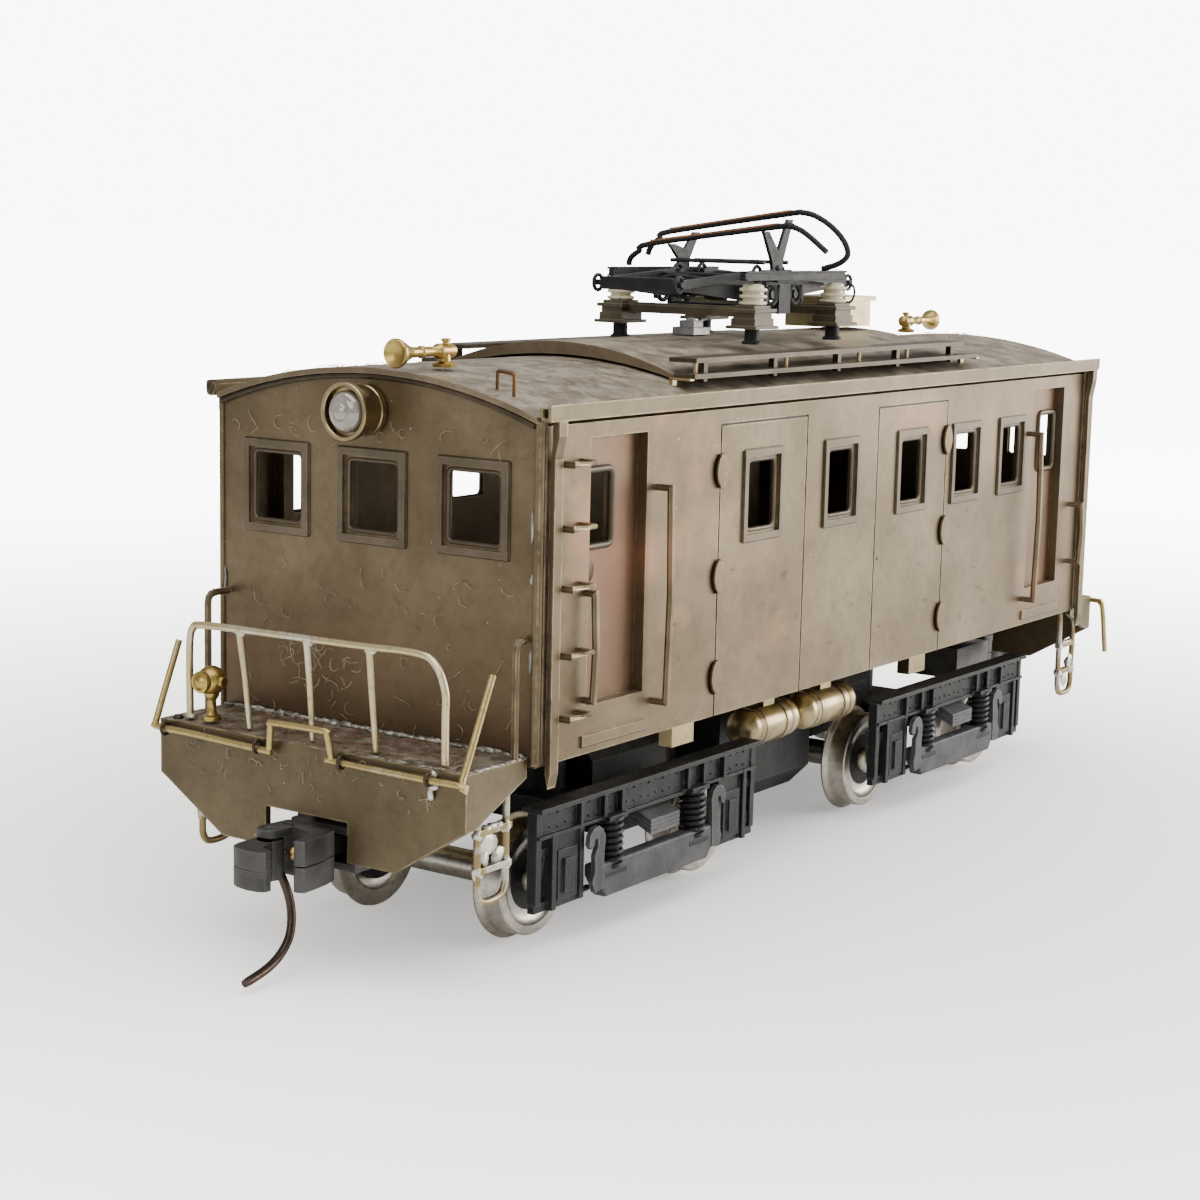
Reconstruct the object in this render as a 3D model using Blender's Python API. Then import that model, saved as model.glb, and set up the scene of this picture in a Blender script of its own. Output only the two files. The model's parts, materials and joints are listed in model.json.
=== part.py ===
"""A small brass box-cab electric locomotive for 16.5 mm gauge model track.

The origin is on the track plane, midway between the ends. +X points at the rear end, the side with
the air tanks faces -Y, and +Z is up. Lengths are written in millimetres; MM turns them into metres.
The rear end is the front end turned by 180 degrees about Z, so most builders take half_turn. The
far wall of the body is the near wall mirrored.
"""
import math

import bmesh
import bpy
from mathutils import Matrix, Vector

MM = 0.001
GAP = 0.25                       # clearance left between neighbouring pieces
WIRE = 0.32                      # radius of the soldered wire fittings

# Body
BODY_HALF_LENGTH = 52.5
BODY_HALF_WIDTH = 17.0
BODY_BOTTOM = 18.0
SHEET = 0.6
ROOF_APEX = 48.9
ROOF_RISE = 3.0
ROOF_SHEET = 0.5
ROOF_OVERHANG = 0.5
END_WINDOW_CENTRES = (-10.5, 0.0, 10.5)
END_WINDOW = (7.3, 34.4, 42.2)   # width, bottom and top of the outer frame
SIDE_WINDOWS = ((-22.1, -15.3), (-7.7, -0.9), (6.8, 13.4), (18.8, 25.6), (29.8, 36.4))
SIDE_WINDOW_Z = (33.1, 41.3)
FRAME_BAND = 0.6                 # width of a raised window frame
FRAME_PROUD = 0.2
SASH = 0.4                       # width of the sash behind the frame
SASH_DEPTH = 0.3
DOORS = ((-45.6, 0.5), (38.2, 3.8))   # front edge of each door recess, and its window's place in it
DOOR_SIZE = (8.2, 22.0, 43.9)    # width, bottom and top of the recess
DOOR_DEPTH = 1.0
DOOR_WINDOW = (3.9, 34.9, 41.1)  # width, bottom and top of the opening
PANEL_JOINTS = ((-25.9, -10.9), (2.9, 17.6))
PANEL_TOP = 43.9
HINGE_Z = (21.5, 30.5, 39.8)
RUNG_Z = (21.7, 26.8, 32.2, 37.0, 42.1)
RUNG_X = (-49.8, -46.9)
HANDRAILS = ((-36.0, 21.0, 39.2, 1.5), (37.4, 21.0, 39.2, 1.5), (49.2, 24.0, 30.5, 1.5),
             (-46.05, 31.4, 22.6, 1.0))   # x, the two end heights and the stand-off
SILL_STRIPS = (-46.3, 37.6)      # front end of the strip under each door
SILL_STRIP = (9.2, 18.7, 19.6)   # length, bottom and top
SOLDER_DEPTH = 0.3               # how far a fitting runs into the sheet it is soldered to

# Roof fittings
HATCH_HALF_LENGTH = 26.8
HATCH_HALF_WIDTH = 12.6
HATCH_APEX = 50.3
HATCH_RADIUS = 34.0
WALKWAY_UPPER = (26.0, 11.4, 14.3, 49.0, 49.4)   # half length, inner and outer edge, bottom and top
WALKWAY_LOWER = (27.6, 12.9, 15.2, 47.7, 48.1)
WALKWAY_POSTS = (-24.0, -12.0, 0.0, 12.0, 24.0)
GUTTER_BOTTOM = 45.6
GUTTER_TOP = 46.9
GUTTER_REACH = 1.25              # outer lip, from the wall
PIPE_X = (-51.0, 52.1)           # downpipes
HEADLAMP_CENTRE = (0.4, 45.4)
WHISTLE_AXIS = (-4.2, 50.3)
WHISTLE_POST_X = -48.5
MARKER_LAMP_Y = 11.7
ROOF_BOX = (18.4, 26.2, 3.0, 2.9)   # ends, half width and height under its lid
ROOF_BOX_LID = (0.5, 0.4, 0.3)   # overhang along, overhang across, and thickness above the box

# End platforms. The rear one is shallower.
DECK_REACH = {"front": 60.5, "rear": 58.4}
DECK_TOP = 18.8
DECK_SHEET = 0.6
DECK_HALF_WIDTH = 16.4
BEAM_SIDE_BOTTOM = {"front": 14.2, "rear": 15.0}
BEAM_BOTTOM = {"front": 9.8, "rear": 10.8}
BEAM_BOTTOM_HALF_WIDTH = 9.3
NOTCH_HALF_WIDTH = 4.4
NOTCH_TOP = 13.1
GRAB_RAILS = ((-53.9, -16.05, 28.3), (-55.3, 15.9, 28.9))
RAIL_POSTS = ((8.3, 7.2), (0.9, 0.3), (-5.7, -6.4))   # y at the top and at the foot
LEVER_Z = 18.2
LEVER_RADIUS = 0.3
STEP_X = (-57.1, -53.4)
STEP_BOTTOM = 7.5
STEP_TREADS = (13.3, 10.2)

# Couplers
COUPLER_Z = 10.0
COUPLER_PIVOT_X = -53.5
KNUCKLE_PIVOT = (-62.6, 2.0)
HEAD_HALF_HEIGHT = 2.1
TRIP_PIN_RADIUS = 0.4
COUPLER_BOX = (-58.4, -50.2, 3.5, 8.3, 11.9)   # ends, half width, bottom and top
BOX_WALL = 0.6

# Bogies and drive
BOGIE_X = 29.5
HALF_WHEELBASE = 13.0
AXLE_Z = 5.5
FLANGE_RADIUS = 5.5
TREAD_RADIUS = 4.9
HALF_BACK_TO_BACK = 7.25
WORM_TEETH = 14
WORM_CENTRE_DISTANCE = 4.3
SHAFT_Z = AXLE_Z + WORM_CENTRE_DISTANCE
FRAME_HALF_LENGTH = 17.5
FRAME_TOP = 13.0
BEAM_BOTTOM_Z = 10.3
SPRING_X = 6.6
SPRING_RADIUS = 1.3
SPRING_Z = (5.6, 10.5)
PLANK_Z = (4.0, 6.1)
TANK_RADIUS = 1.9
TANK_AXIS = (-10.2, 13.2)
BRACKET_X = 23.0
MOTOR_HALF = (8.8, 7.2)          # half length and half width
MOTOR_Z = (3.8, 16.4)
MOTOR_BEVEL = 2.2

# Pantograph. It stands a little off the centre line.
PANTOGRAPH_Y = -1.2
ARM_LENGTH = 13.8
ARM_REST_ANGLE = math.radians(4.0)
PIVOT_OFFSET = 2.2               # same at the base and at the head, so both arms keep one angle
SHAFT_PIVOT_Z = 54.4
FOOT_X = 7.7
FOOT_Y = 7.55
INSULATOR = (1.35, 53.3, 55.5)   # radius, bottom and top
SHAFT_HALF_LENGTH = 6.45
LOWER_ARM_Y = 3.55
UPPER_ARM_Y = 4.55
HEAD_PLATE_Y = 5.4


# ---------------------------------------------------------------- scene and materials

def clear_scene():
    for thing in list(bpy.data.objects):
        bpy.data.objects.remove(thing, do_unlink=True)


def make_material(name, colour, roughness, metallic):
    material = bpy.data.materials.new(name)
    material.use_nodes = True
    shader = material.node_tree.nodes["Principled BSDF"]
    shader.inputs["Base Color"].default_value = (*colour, 1.0)
    shader.inputs["Roughness"].default_value = roughness
    shader.inputs["Metallic"].default_value = metallic
    return material


def make_materials():
    return {
        "patina": make_material("patinated_brass", (0.25, 0.19, 0.12), 0.45, 0.8),
        "brass": make_material("bright_brass", (0.70, 0.53, 0.22), 0.3, 1.0),
        "wire": make_material("nickel_wire", (0.72, 0.68, 0.56), 0.35, 1.0),
        "black": make_material("black_casting", (0.03, 0.035, 0.04), 0.5, 0.2),
        "steel": make_material("nickel_silver", (0.55, 0.54, 0.5), 0.25, 1.0),
        "coupler": make_material("coupler_metal", (0.09, 0.09, 0.1), 0.45, 0.7),
        "lens": make_material("lamp_lens", (0.5, 0.5, 0.48), 0.12, 0.0),
        "porcelain": make_material("cream_insulator", (0.7, 0.66, 0.5), 0.35, 0.0),
    }


# ---------------------------------------------------------------- solids

def box(x0, x1, y0, y1, z0, z1):
    mesh = bmesh.new()
    bmesh.ops.create_cube(mesh, size=1.0)
    size = Vector((abs(x1 - x0), abs(y1 - y0), abs(z1 - z0)))
    centre = Vector(((x0 + x1) / 2, (y0 + y1) / 2, (z0 + z1) / 2))
    bmesh.ops.scale(mesh, vec=size, verts=mesh.verts)
    bmesh.ops.translate(mesh, vec=centre, verts=mesh.verts)
    return mesh


def lift(point, along, axis):
    """A flat point as a space point, with its third coordinate put in at the axis."""
    spot = list(point)
    spot.insert("xyz".index(axis), along)
    return spot


def prism(outline, low, high, axis):
    """Extrude a closed outline along axis. Its points give the other two coordinates in order."""
    mesh = bmesh.new()
    face = mesh.faces.new([mesh.verts.new(lift(point, low, axis)) for point in outline])
    extruded = bmesh.ops.extrude_face_region(mesh, geom=[face])
    shift = Vector(lift((0.0, 0.0), high - low, axis))
    moved = [part for part in extruded["geom"] if isinstance(part, bmesh.types.BMVert)]
    bmesh.ops.translate(mesh, vec=shift, verts=moved)
    return mesh


def turned(profile, axis, centre, segments):
    """Revolve (radius, height) points about an axis; the first and last radius are zero."""
    frames = {
        "x": (Vector((0, 1, 0)), Vector((0, 0, 1)), Vector((1, 0, 0))),
        "y": (Vector((0, 0, 1)), Vector((1, 0, 0)), Vector((0, 1, 0))),
        "z": (Vector((1, 0, 0)), Vector((0, 1, 0)), Vector((0, 0, 1))),
    }
    across, beside, along = frames[axis]
    origin = Vector(centre)
    mesh = bmesh.new()
    rings = []
    for radius, height in profile:
        middle = origin + along * height
        if radius == 0.0:
            rings.append([mesh.verts.new(middle)])
            continue
        ring = []
        for step in range(segments):
            angle = 2 * math.pi * step / segments
            spoke = across * math.cos(angle) + beside * math.sin(angle)
            ring.append(mesh.verts.new(middle + spoke * radius))
        rings.append(ring)
    for lower, upper in zip(rings, rings[1:]):
        for step in range(segments):
            after = (step + 1) % segments
            corners = [lower[step % len(lower)], lower[after % len(lower)]]
            corners += [upper[after % len(upper)], upper[step % len(upper)]]
            unique = list(dict.fromkeys(corners))
            mesh.faces.new(unique)
    return mesh


def cylinder(axis, centre, radius, low, high, segments=16):
    return turned([(0.0, low), (radius, low), (radius, high), (0.0, high)], axis, centre, segments)


def wire(path, radius=WIRE, sides=6):
    """Sweep a round section along a polyline, mitred at its bends and capped at both ends."""
    points = [Vector(p) for p in path]
    mesh = bmesh.new()
    rings = []
    normal = None
    for index, point in enumerate(points):
        before = (point - points[index - 1]).normalized() if index else None
        after = (points[index + 1] - point).normalized() if index + 1 < len(points) else None
        if before is None:
            tangent = after
        elif after is None:
            tangent = before
        else:
            tangent = (before + after).normalized()
        if normal is None:
            guess = Vector((0, 0, 1)) if abs(tangent.z) < 0.9 else Vector((1, 0, 0))
            normal = tangent.cross(guess).normalized()
        else:
            normal = (normal - tangent * normal.dot(tangent)).normalized()
        side = tangent.cross(normal)
        stretch = 1.0
        if before is not None and after is not None:
            stretch = 1.0 / max(0.5, math.cos(before.angle(after) / 2))
        bend = (after - before).normalized() if stretch > 1.001 else None
        ring = []
        for step in range(sides):
            angle = 2 * math.pi * step / sides
            offset = (normal * math.cos(angle) + side * math.sin(angle)) * radius
            if bend is not None:
                offset += bend * (offset.dot(bend) * (stretch - 1.0))
            ring.append(mesh.verts.new(point + offset))
        rings.append(ring)
    for lower, upper in zip(rings, rings[1:]):
        for step in range(sides):
            after_step = (step + 1) % sides
            mesh.faces.new((lower[step], lower[after_step], upper[after_step], upper[step]))
    mesh.faces.new(list(reversed(rings[0])))
    mesh.faces.new(rings[-1])
    return mesh


def rounded(corner_a, corner, corner_b, radius, steps=3):
    """Points of a bend that replaces a sharp corner of a wire path."""
    a, c, b = Vector(corner_a), Vector(corner), Vector(corner_b)
    start = c + (a - c).normalized() * radius
    end = c + (b - c).normalized() * radius
    points = []
    for step in range(steps + 1):
        t = step / steps
        points.append(tuple(start * (1 - t) ** 2 + c * 2 * t * (1 - t) + end * t ** 2))
    return points


def about_z(mesh, half_turn):
    if half_turn:
        bmesh.ops.rotate(mesh, cent=(0, 0, 0), matrix=Matrix.Rotation(math.pi, 3, "Z"), verts=mesh.verts)
    return mesh


def scratch_object(mesh):
    bmesh.ops.recalc_face_normals(mesh, faces=mesh.faces)
    data = bpy.data.meshes.new("scratch")
    mesh.to_mesh(data)
    mesh.free()
    thing = bpy.data.objects.new("scratch", data)
    bpy.context.collection.objects.link(thing)
    return thing


def fuse(solids, cuts=()):
    """Union the solids, take the cuts away, and return one bmesh in millimetres."""
    first = scratch_object(solids[0])
    helpers = []
    for mesh, operation in [(s, "UNION") for s in solids[1:]] + [(c, "DIFFERENCE") for c in cuts]:
        helper = scratch_object(mesh)
        helpers.append(helper)
        modifier = first.modifiers.new("boolean", "BOOLEAN")
        modifier.operation = operation
        modifier.solver = "EXACT"
        modifier.object = helper
    bpy.context.view_layer.update()
    depsgraph = bpy.context.evaluated_depsgraph_get()
    result = bmesh.new()
    result.from_mesh(first.evaluated_get(depsgraph).to_mesh())
    for thing in [first, *helpers]:
        data = thing.data
        bpy.data.objects.remove(thing, do_unlink=True)
        bpy.data.meshes.remove(data)
    return result


def place(name, mesh, material, origin=(0, 0, 0), half_turn=False, smooth=None, shift_y=0.0):
    """Make the named object from a bmesh in millimetres, with its origin at a point of the model."""
    about_z(mesh, half_turn)
    anchor = Vector(origin)
    if half_turn:
        anchor = Vector((-anchor.x, -anchor.y, anchor.z))
    bmesh.ops.translate(mesh, vec=(0, shift_y, 0), verts=mesh.verts)
    anchor.y += shift_y
    bmesh.ops.translate(mesh, vec=-anchor, verts=mesh.verts)
    bmesh.ops.scale(mesh, vec=(MM, MM, MM), verts=mesh.verts)
    bmesh.ops.recalc_face_normals(mesh, faces=mesh.faces)
    data = bpy.data.meshes.new(name)
    mesh.to_mesh(data)
    mesh.free()
    data.materials.append(material)
    if smooth:
        data.shade_smooth()
        data.set_sharp_from_angle(angle=math.radians(smooth))
    thing = bpy.data.objects.new(name, data)
    bpy.context.collection.objects.link(thing)
    thing.location = anchor * MM
    return thing


# ---------------------------------------------------------------- body and roof

def arc_height(y, apex, radius):
    return apex - radius + math.sqrt(radius * radius - y * y)


def roof_radius():
    return (BODY_HALF_WIDTH ** 2 + ROOF_RISE ** 2) / (2 * ROOF_RISE)


def roof_top(y):
    return arc_height(y, ROOF_APEX, roof_radius())


def arc_points(half_width, height_of, steps):
    """(y, z) points of a curve over the width, from -Y to +Y."""
    points = []
    for step in range(steps + 1):
        y = -half_width + 2 * half_width * step / steps
        points.append((y, height_of(y)))
    return points


def to_side(mesh, far):
    """Mirror a solid of the near wall over to the far wall."""
    if far:
        bmesh.ops.scale(mesh, vec=(1, -1, 1), verts=mesh.verts)
    return mesh


def side_box(x0, x1, out, inner, z0, z1, far):
    """A box against one long wall, given by its distances from the centre line."""
    return to_side(box(x0, x1, -out, -inner, z0, z1), far)


def side_solids(far):
    """Everything soldered on one long side of the body shell."""
    wall = BODY_HALF_WIDTH
    solids = []
    for x0, x1 in SIDE_WINDOWS:
        solids.append(side_box(x0, x1, wall + FRAME_PROUD, wall - 0.3, *SIDE_WINDOW_Z, far))
    width, bottom, top = DOOR_SIZE
    for door, _ in DOORS:
        solids.append(side_box(door - 0.8, door + width + 0.8, wall - 0.2, wall - DOOR_DEPTH - 0.7,
                               bottom - 0.8, top + 0.6, far))
    for x in (PANEL_JOINTS[0][0], PANEL_JOINTS[1][1]):
        for z in HINGE_Z:
            outline = [(x - 0.4, z - 1.5), (x + 0.4, z - 1.1), (x + 0.75, z), (x + 0.4, z + 1.1),
                       (x - 0.4, z + 1.5)]
            solids.append(to_side(prism(outline, -wall - 0.35, -wall + SOLDER_DEPTH, "y"), far))
    start, end = RUNG_X
    root = -wall + SOLDER_DEPTH
    reach = -wall - 1.4
    for z in RUNG_Z:
        corners = [(start, root, z), (start, reach, z), (end, reach, z), (end, root, z)]
        solids.append(to_side(wire(corners), far))
    for handrail in HANDRAILS:
        solids.append(to_side(wire(handrail_path(*handrail)), far))
    length, bottom, top = SILL_STRIP
    for x in SILL_STRIPS:
        solids.append(side_box(x, x + length, wall + 0.2, wall - SOLDER_DEPTH, bottom, top, far))
    return solids


def handrail_path(x, low, high, stand_off):
    root = -BODY_HALF_WIDTH + SOLDER_DEPTH
    reach = -BODY_HALF_WIDTH - stand_off
    return [(x, root, low), (x, reach, low), (x, reach - 0.2, (low + high) / 2), (x, reach, high),
            (x, root, high)]


def stepped_opening(low, high, bottom, top, box_at):
    """The two cuts of a window: the frame's opening down to the sash, and the sash's own opening."""
    wide = FRAME_BAND
    narrow = FRAME_BAND + SASH
    outside = FRAME_PROUD + 2.0
    step = box_at(outside, FRAME_PROUD - SASH_DEPTH, low + wide, high - wide, bottom + wide, top - wide)
    through = box_at(outside, -2.0, low + narrow, high - narrow, bottom + narrow, top - narrow)
    return [step, through]


def side_cuts(far):
    """Window openings, door recesses and panel grooves of one long side."""
    wall = BODY_HALF_WIDTH

    def box_at(out, inner, x0, x1, z0, z1):
        return side_box(x0, x1, wall + out, wall + inner, z0, z1, far)

    cuts = []
    for x0, x1 in SIDE_WINDOWS:
        cuts += stepped_opening(x0, x1, *SIDE_WINDOW_Z, box_at)
    width, bottom, top = DOOR_SIZE
    window_width, sill, head = DOOR_WINDOW
    for door, left in DOORS:
        cuts.append(box_at(2.0, -DOOR_DEPTH, door, door + width, bottom, top))
        cuts.append(box_at(2.0, -3.0, door + left, door + left + window_width, sill, head))
    groove = 0.1
    foot = BODY_BOTTOM - 1
    for x0, x1 in PANEL_JOINTS:
        outline = [(x0 - groove, foot), (x0 - groove, PANEL_TOP), (x1 + groove, PANEL_TOP),
                   (x1 + groove, foot), (x1 - groove, foot), (x1 - groove, PANEL_TOP - 2 * groove),
                   (x0 + groove, PANEL_TOP - 2 * groove), (x0 + groove, foot)]
        cuts.append(to_side(prism(outline, -wall - 2, -wall + 0.25, "y"), far))
    return cuts


def end_box(depth_out, depth_in, y0, y1, z0, z1, half_turn):
    return about_z(box(-depth_out, -depth_in, y0, y1, z0, z1), half_turn)


def make_body_shell(materials):
    outline = arc_points(BODY_HALF_WIDTH, ceiling, 16)
    outline = [(-BODY_HALF_WIDTH, BODY_BOTTOM)] + outline + [(BODY_HALF_WIDTH, BODY_BOTTOM)]
    solids = [prism(outline, -BODY_HALF_LENGTH, BODY_HALF_LENGTH, "x")]
    inner_x = BODY_HALF_LENGTH - SHEET
    inner_y = BODY_HALF_WIDTH - SHEET
    shell = fuse(solids, [box(-inner_x, inner_x, -inner_y, inner_y, 0, 80)])
    solids = [shell]
    cuts = []
    width, low, high = END_WINDOW
    for far in (False, True):
        solids += side_solids(far)
        cuts += side_cuts(far)
    for half_turn in (False, True):

        def box_at(out, inner, y0, y1, z0, z1, turned_end=half_turn):
            return end_box(BODY_HALF_LENGTH + out, BODY_HALF_LENGTH + inner, y0, y1, z0, z1, turned_end)

        for y in END_WINDOW_CENTRES:
            solids.append(box_at(FRAME_PROUD, -0.3, y - width / 2, y + width / 2, low, high))
            cuts += stepped_opening(y - width / 2, y + width / 2, low, high, box_at)
    place("body_shell", fuse(solids, cuts), materials["patina"])


def ceiling(y):
    return roof_top(y) - ROOF_SHEET - GAP


def hatch_top(y):
    return arc_height(y, HATCH_APEX, HATCH_RADIUS)


def on_roof(y):
    return roof_top(y) + GAP


def make_roof(materials):
    upper = arc_points(BODY_HALF_WIDTH, roof_top, 18)
    lower = [(y, z - ROOF_SHEET) for y, z in reversed(upper)]
    end = BODY_HALF_LENGTH + ROOF_OVERHANG
    place("main_roof", prism(upper + lower, -end, end, "x"), materials["patina"], smooth=30)


def make_hatch(materials):
    upper = arc_points(HATCH_HALF_WIDTH, hatch_top, 14)
    lower = list(reversed(arc_points(HATCH_HALF_WIDTH, on_roof, 14)))
    hatch = prism(upper + lower, -HATCH_HALF_LENGTH, HATCH_HALF_LENGTH, "x")
    place("roof_hatch", hatch, materials["patina"], smooth=30)


def make_walkway(name, materials, half_turn):
    solids = []
    for half_length, inner, outer, bottom, top in (WALKWAY_UPPER, WALKWAY_LOWER):
        solids.append(box(-half_length, half_length, -outer, -inner, bottom, top))
    for x in WALKWAY_POSTS:
        solids.append(box(x - 0.3, x + 0.3, -14.0, -13.4, roof_top(13.4) + GAP, 49.2))
    place(name, fuse(solids), materials["patina"], half_turn=half_turn)


def make_gutter(name, materials, far):
    """A U-section gutter with a flat downpipe at each end."""
    wall = -BODY_HALF_WIDTH
    end = BODY_HALF_LENGTH + 0.3
    back = wall - 0.3
    lip = wall - GUTTER_REACH
    bed = GUTTER_BOTTOM + 0.3
    channel = [(back, GUTTER_BOTTOM), (back, GUTTER_TOP - 0.3), (back - 0.25, GUTTER_TOP - 0.3),
               (back - 0.25, bed), (lip + 0.25, bed), (lip + 0.25, GUTTER_TOP), (lip, GUTTER_TOP),
               (lip, GUTTER_BOTTOM)]
    pipe = [(back - 0.2, GUTTER_BOTTOM + 0.1), (lip + 0.1, GUTTER_BOTTOM + 0.1), (lip + 0.1, 44.4),
            (back - 0.5, 42.6), (back - 0.5, 17.4), (back - 0.25, 16.2), (back, 17.4), (back, 42.4),
            (back - 0.2, 43.9)]
    solids = [prism(channel, -end, end, "x")]
    for x in PIPE_X:
        solids.append(prism(pipe, x - 0.55, x + 0.55, "x"))
    place(name, to_side(fuse(solids), far), materials["patina"])


# ---------------------------------------------------------------- lamps and whistle

def make_headlamp(end_name, materials, half_turn):
    centre = (0.0, *HEADLAMP_CENTRE)
    face = -BODY_HALF_LENGTH - GAP
    profile = [(0.0, face), (2.1, face), (2.1, face - 2.4), (2.4, face - 2.5), (2.4, face - 3.0),
               (2.05, face - 3.0), (1.9, face - 2.3), (0.0, face - 2.3)]
    place(f"headlamp_{end_name}", turned(profile, "x", centre, 18), materials["patina"],
          half_turn=half_turn, smooth=35)
    back = face - 2.3 - GAP
    lens = [(0.0, back), (1.65, back), (1.6, back - 0.5), (1.2, back - 0.95), (0.6, back - 1.2),
            (0.0, back - 1.3)]
    place(f"headlamp_lens_{end_name}", turned(lens, "x", centre, 14), materials["lens"],
          half_turn=half_turn, smooth=50)


def make_marker_lamp(end_name, materials, half_turn):
    foot = (1.3 - DECK_REACH[end_name], MARKER_LAMP_Y, 0.0)
    base = DECK_TOP + GAP
    ball = base + 3.4
    radius = 1.25
    profile = [(0.0, base), (0.75, base), (0.75, base + 0.4), (0.4, base + 0.5), (0.4, base + 1.9)]
    for step in range(1, 6):
        angle = math.pi * step / 6
        profile.append((radius * math.sin(angle), ball - radius * math.cos(angle)))
    profile.append((0.0, ball + radius))
    stem = turned(profile, "z", foot, 10)
    lens = turned([(0.0, -1.7), (0.7, -1.7), (0.85, -1.2), (0.85, 0.0), (0.0, 0.0)], "x",
                  (foot[0], foot[1], ball), 10)
    place(f"marker_lamp_{end_name}", fuse([stem, lens]), materials["brass"],
          half_turn=half_turn, smooth=35)


def make_whistle(end_name, materials, half_turn):
    y, height = WHISTLE_AXIS
    base = roof_top(y) + GAP
    bell = turned([(0.0, -54.6), (0.7, -54.6), (1.1, -54.9), (1.2, -54.6), (0.75, -53.6), (0.45, -52.8),
                   (0.42, -49.6), (0.62, -49.4), (0.62, -47.6), (0.0, -47.3)], "x", (0, y, height), 12)
    post = cylinder("z", (WHISTLE_POST_X, y, 0), 0.5, base, height, 10)
    foot = cylinder("z", (WHISTLE_POST_X, y, 0), 1.0, base, base + 0.45, 10)
    place(f"whistle_{end_name}", fuse([bell, post, foot]), materials["brass"],
          half_turn=half_turn, smooth=35)


# ---------------------------------------------------------------- end platforms

def make_platform(end_name, materials, half_turn):
    """A deck with a shaped headstock, its tapered side plates, and two corner grab rails."""
    front = -DECK_REACH[end_name]
    side_bottom = BEAM_SIDE_BOTTOM[end_name]
    bottom = BEAM_BOTTOM[end_name]
    back = -BODY_HALF_LENGTH - GAP
    half = DECK_HALF_WIDTH
    sheet = DECK_SHEET
    deck = box(front, back, -half, half, DECK_TOP - sheet, DECK_TOP)
    headstock = [(-half, DECK_TOP), (-half, side_bottom), (-BEAM_BOTTOM_HALF_WIDTH, bottom),
                 (-NOTCH_HALF_WIDTH, bottom), (-NOTCH_HALF_WIDTH, NOTCH_TOP),
                 (NOTCH_HALF_WIDTH, NOTCH_TOP), (NOTCH_HALF_WIDTH, bottom),
                 (BEAM_BOTTOM_HALF_WIDTH, bottom), (half, side_bottom), (half, DECK_TOP)]
    solids = [deck, prism(headstock, front, front + sheet, "x")]
    side = [(front, DECK_TOP), (front, side_bottom), (front + 1.0, side_bottom),
            (back, DECK_TOP - 1.6), (back, DECK_TOP)]
    solids.append(prism(side, -half, -half + sheet, "y"))
    solids.append(prism(side, half - sheet, half, "y"))
    for x, y, top in GRAB_RAILS:
        foot = (x, y, DECK_TOP - SOLDER_DEPTH)
        path = [foot] + rounded(foot, (x, y, top), (back, y, top), 0.9)
        path.append((back, y, top))
        solids.append(wire(path))
    place(f"platform_{end_name}", fuse(solids), materials["patina"], half_turn=half_turn)


def make_gallery_rail(end_name, materials, half_turn):
    """The end rail, a bent wire with three thinner posts that lean a little."""
    x = 1.1 - DECK_REACH[end_name]
    foot = DECK_TOP + GAP
    left, right = 14.0, -13.4
    left_top, right_top = 27.0, 27.5
    path = [(x, left, foot)]
    path += rounded((x, left, foot), (x, left, left_top), (x, right, right_top), 1.4, 4)
    path += rounded((x, left, left_top), (x, right + 0.2, right_top), (x, right, foot), 2.6, 4)
    path += [(x, right, foot)]
    solids = [wire(path)]
    for top_y, foot_y in RAIL_POSTS:
        top = left_top + (right_top - left_top) * (left - top_y) / (left - right)
        solids.append(wire([(x, foot_y, foot), (x, top_y, top)], WIRE * 0.95))
    place(f"gallery_rail_{end_name}", fuse(solids), materials["wire"], half_turn=half_turn, smooth=50)


def make_front_lever(materials):
    """The uncoupling lever: a bar with a central crank and two leaning handles."""
    x = -DECK_REACH["front"] - 0.65
    z = LEVER_Z
    path = [(x + 2.5, 16.0, z + 7.1), (x, 16.3, z), (x, 3.4, z - 0.3), (x - 0.2, 3.1, z + 2.2),
            (x - 0.2, -2.9, z + 2.3), (x, -3.3, z - 0.1), (x, -16.3, z - 0.1), (x + 3.4, -16.7, z + 8.1)]
    place("uncoupling_lever_front", wire(path, LEVER_RADIUS, 8), materials["brass"], smooth=50)


def make_rear_lever(materials):
    """The same lever at the rear, swung over so that its crank and handles hang down."""
    x = DECK_REACH["rear"] + 0.65
    z = LEVER_Z
    half = 17.6
    foot = LEVER_Z - 6.0
    path = [(x, -half - 0.7, foot)] + rounded((x, -half - 0.7, foot), (x, -half, z), (x, 0, z), 1.0)
    path += [(x, -3.2, z), (x + 0.2, -3.0, z - 2.3), (x + 0.2, 3.0, z - 2.3), (x, 3.2, z)]
    path += rounded((x, 0, z), (x, half, z), (x, half + 0.7, foot), 1.0) + [(x, half + 0.7, foot)]
    place("uncoupling_lever_rear", wire(path, LEVER_RADIUS, 8), materials["brass"], smooth=50)


def make_step(end_name, side_name, materials, side, half_turn):
    """A U of wire under the deck with two flat treads."""
    y = side * (DECK_HALF_WIDTH - DECK_SHEET - 0.9)
    top = DECK_TOP - DECK_SHEET - GAP
    bottom = STEP_BOTTOM
    front, back = STEP_X
    path = [(back, y, top)] + rounded((back, y, top), (back, y, bottom), (front, y, bottom), 1.2)
    path += rounded((back, y, bottom), (front, y, bottom), (front, y, top), 1.2) + [(front, y, top)]
    solids = [wire(path)]
    for z in STEP_TREADS:
        solids.append(box(front - 0.1, back + 0.5, y - 0.36, y + 0.36, z - 0.3, z + 0.3))
    place(f"step_{end_name}_{side_name}", fuse(solids), materials["steel"], half_turn=half_turn)


# ---------------------------------------------------------------- couplers

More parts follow.
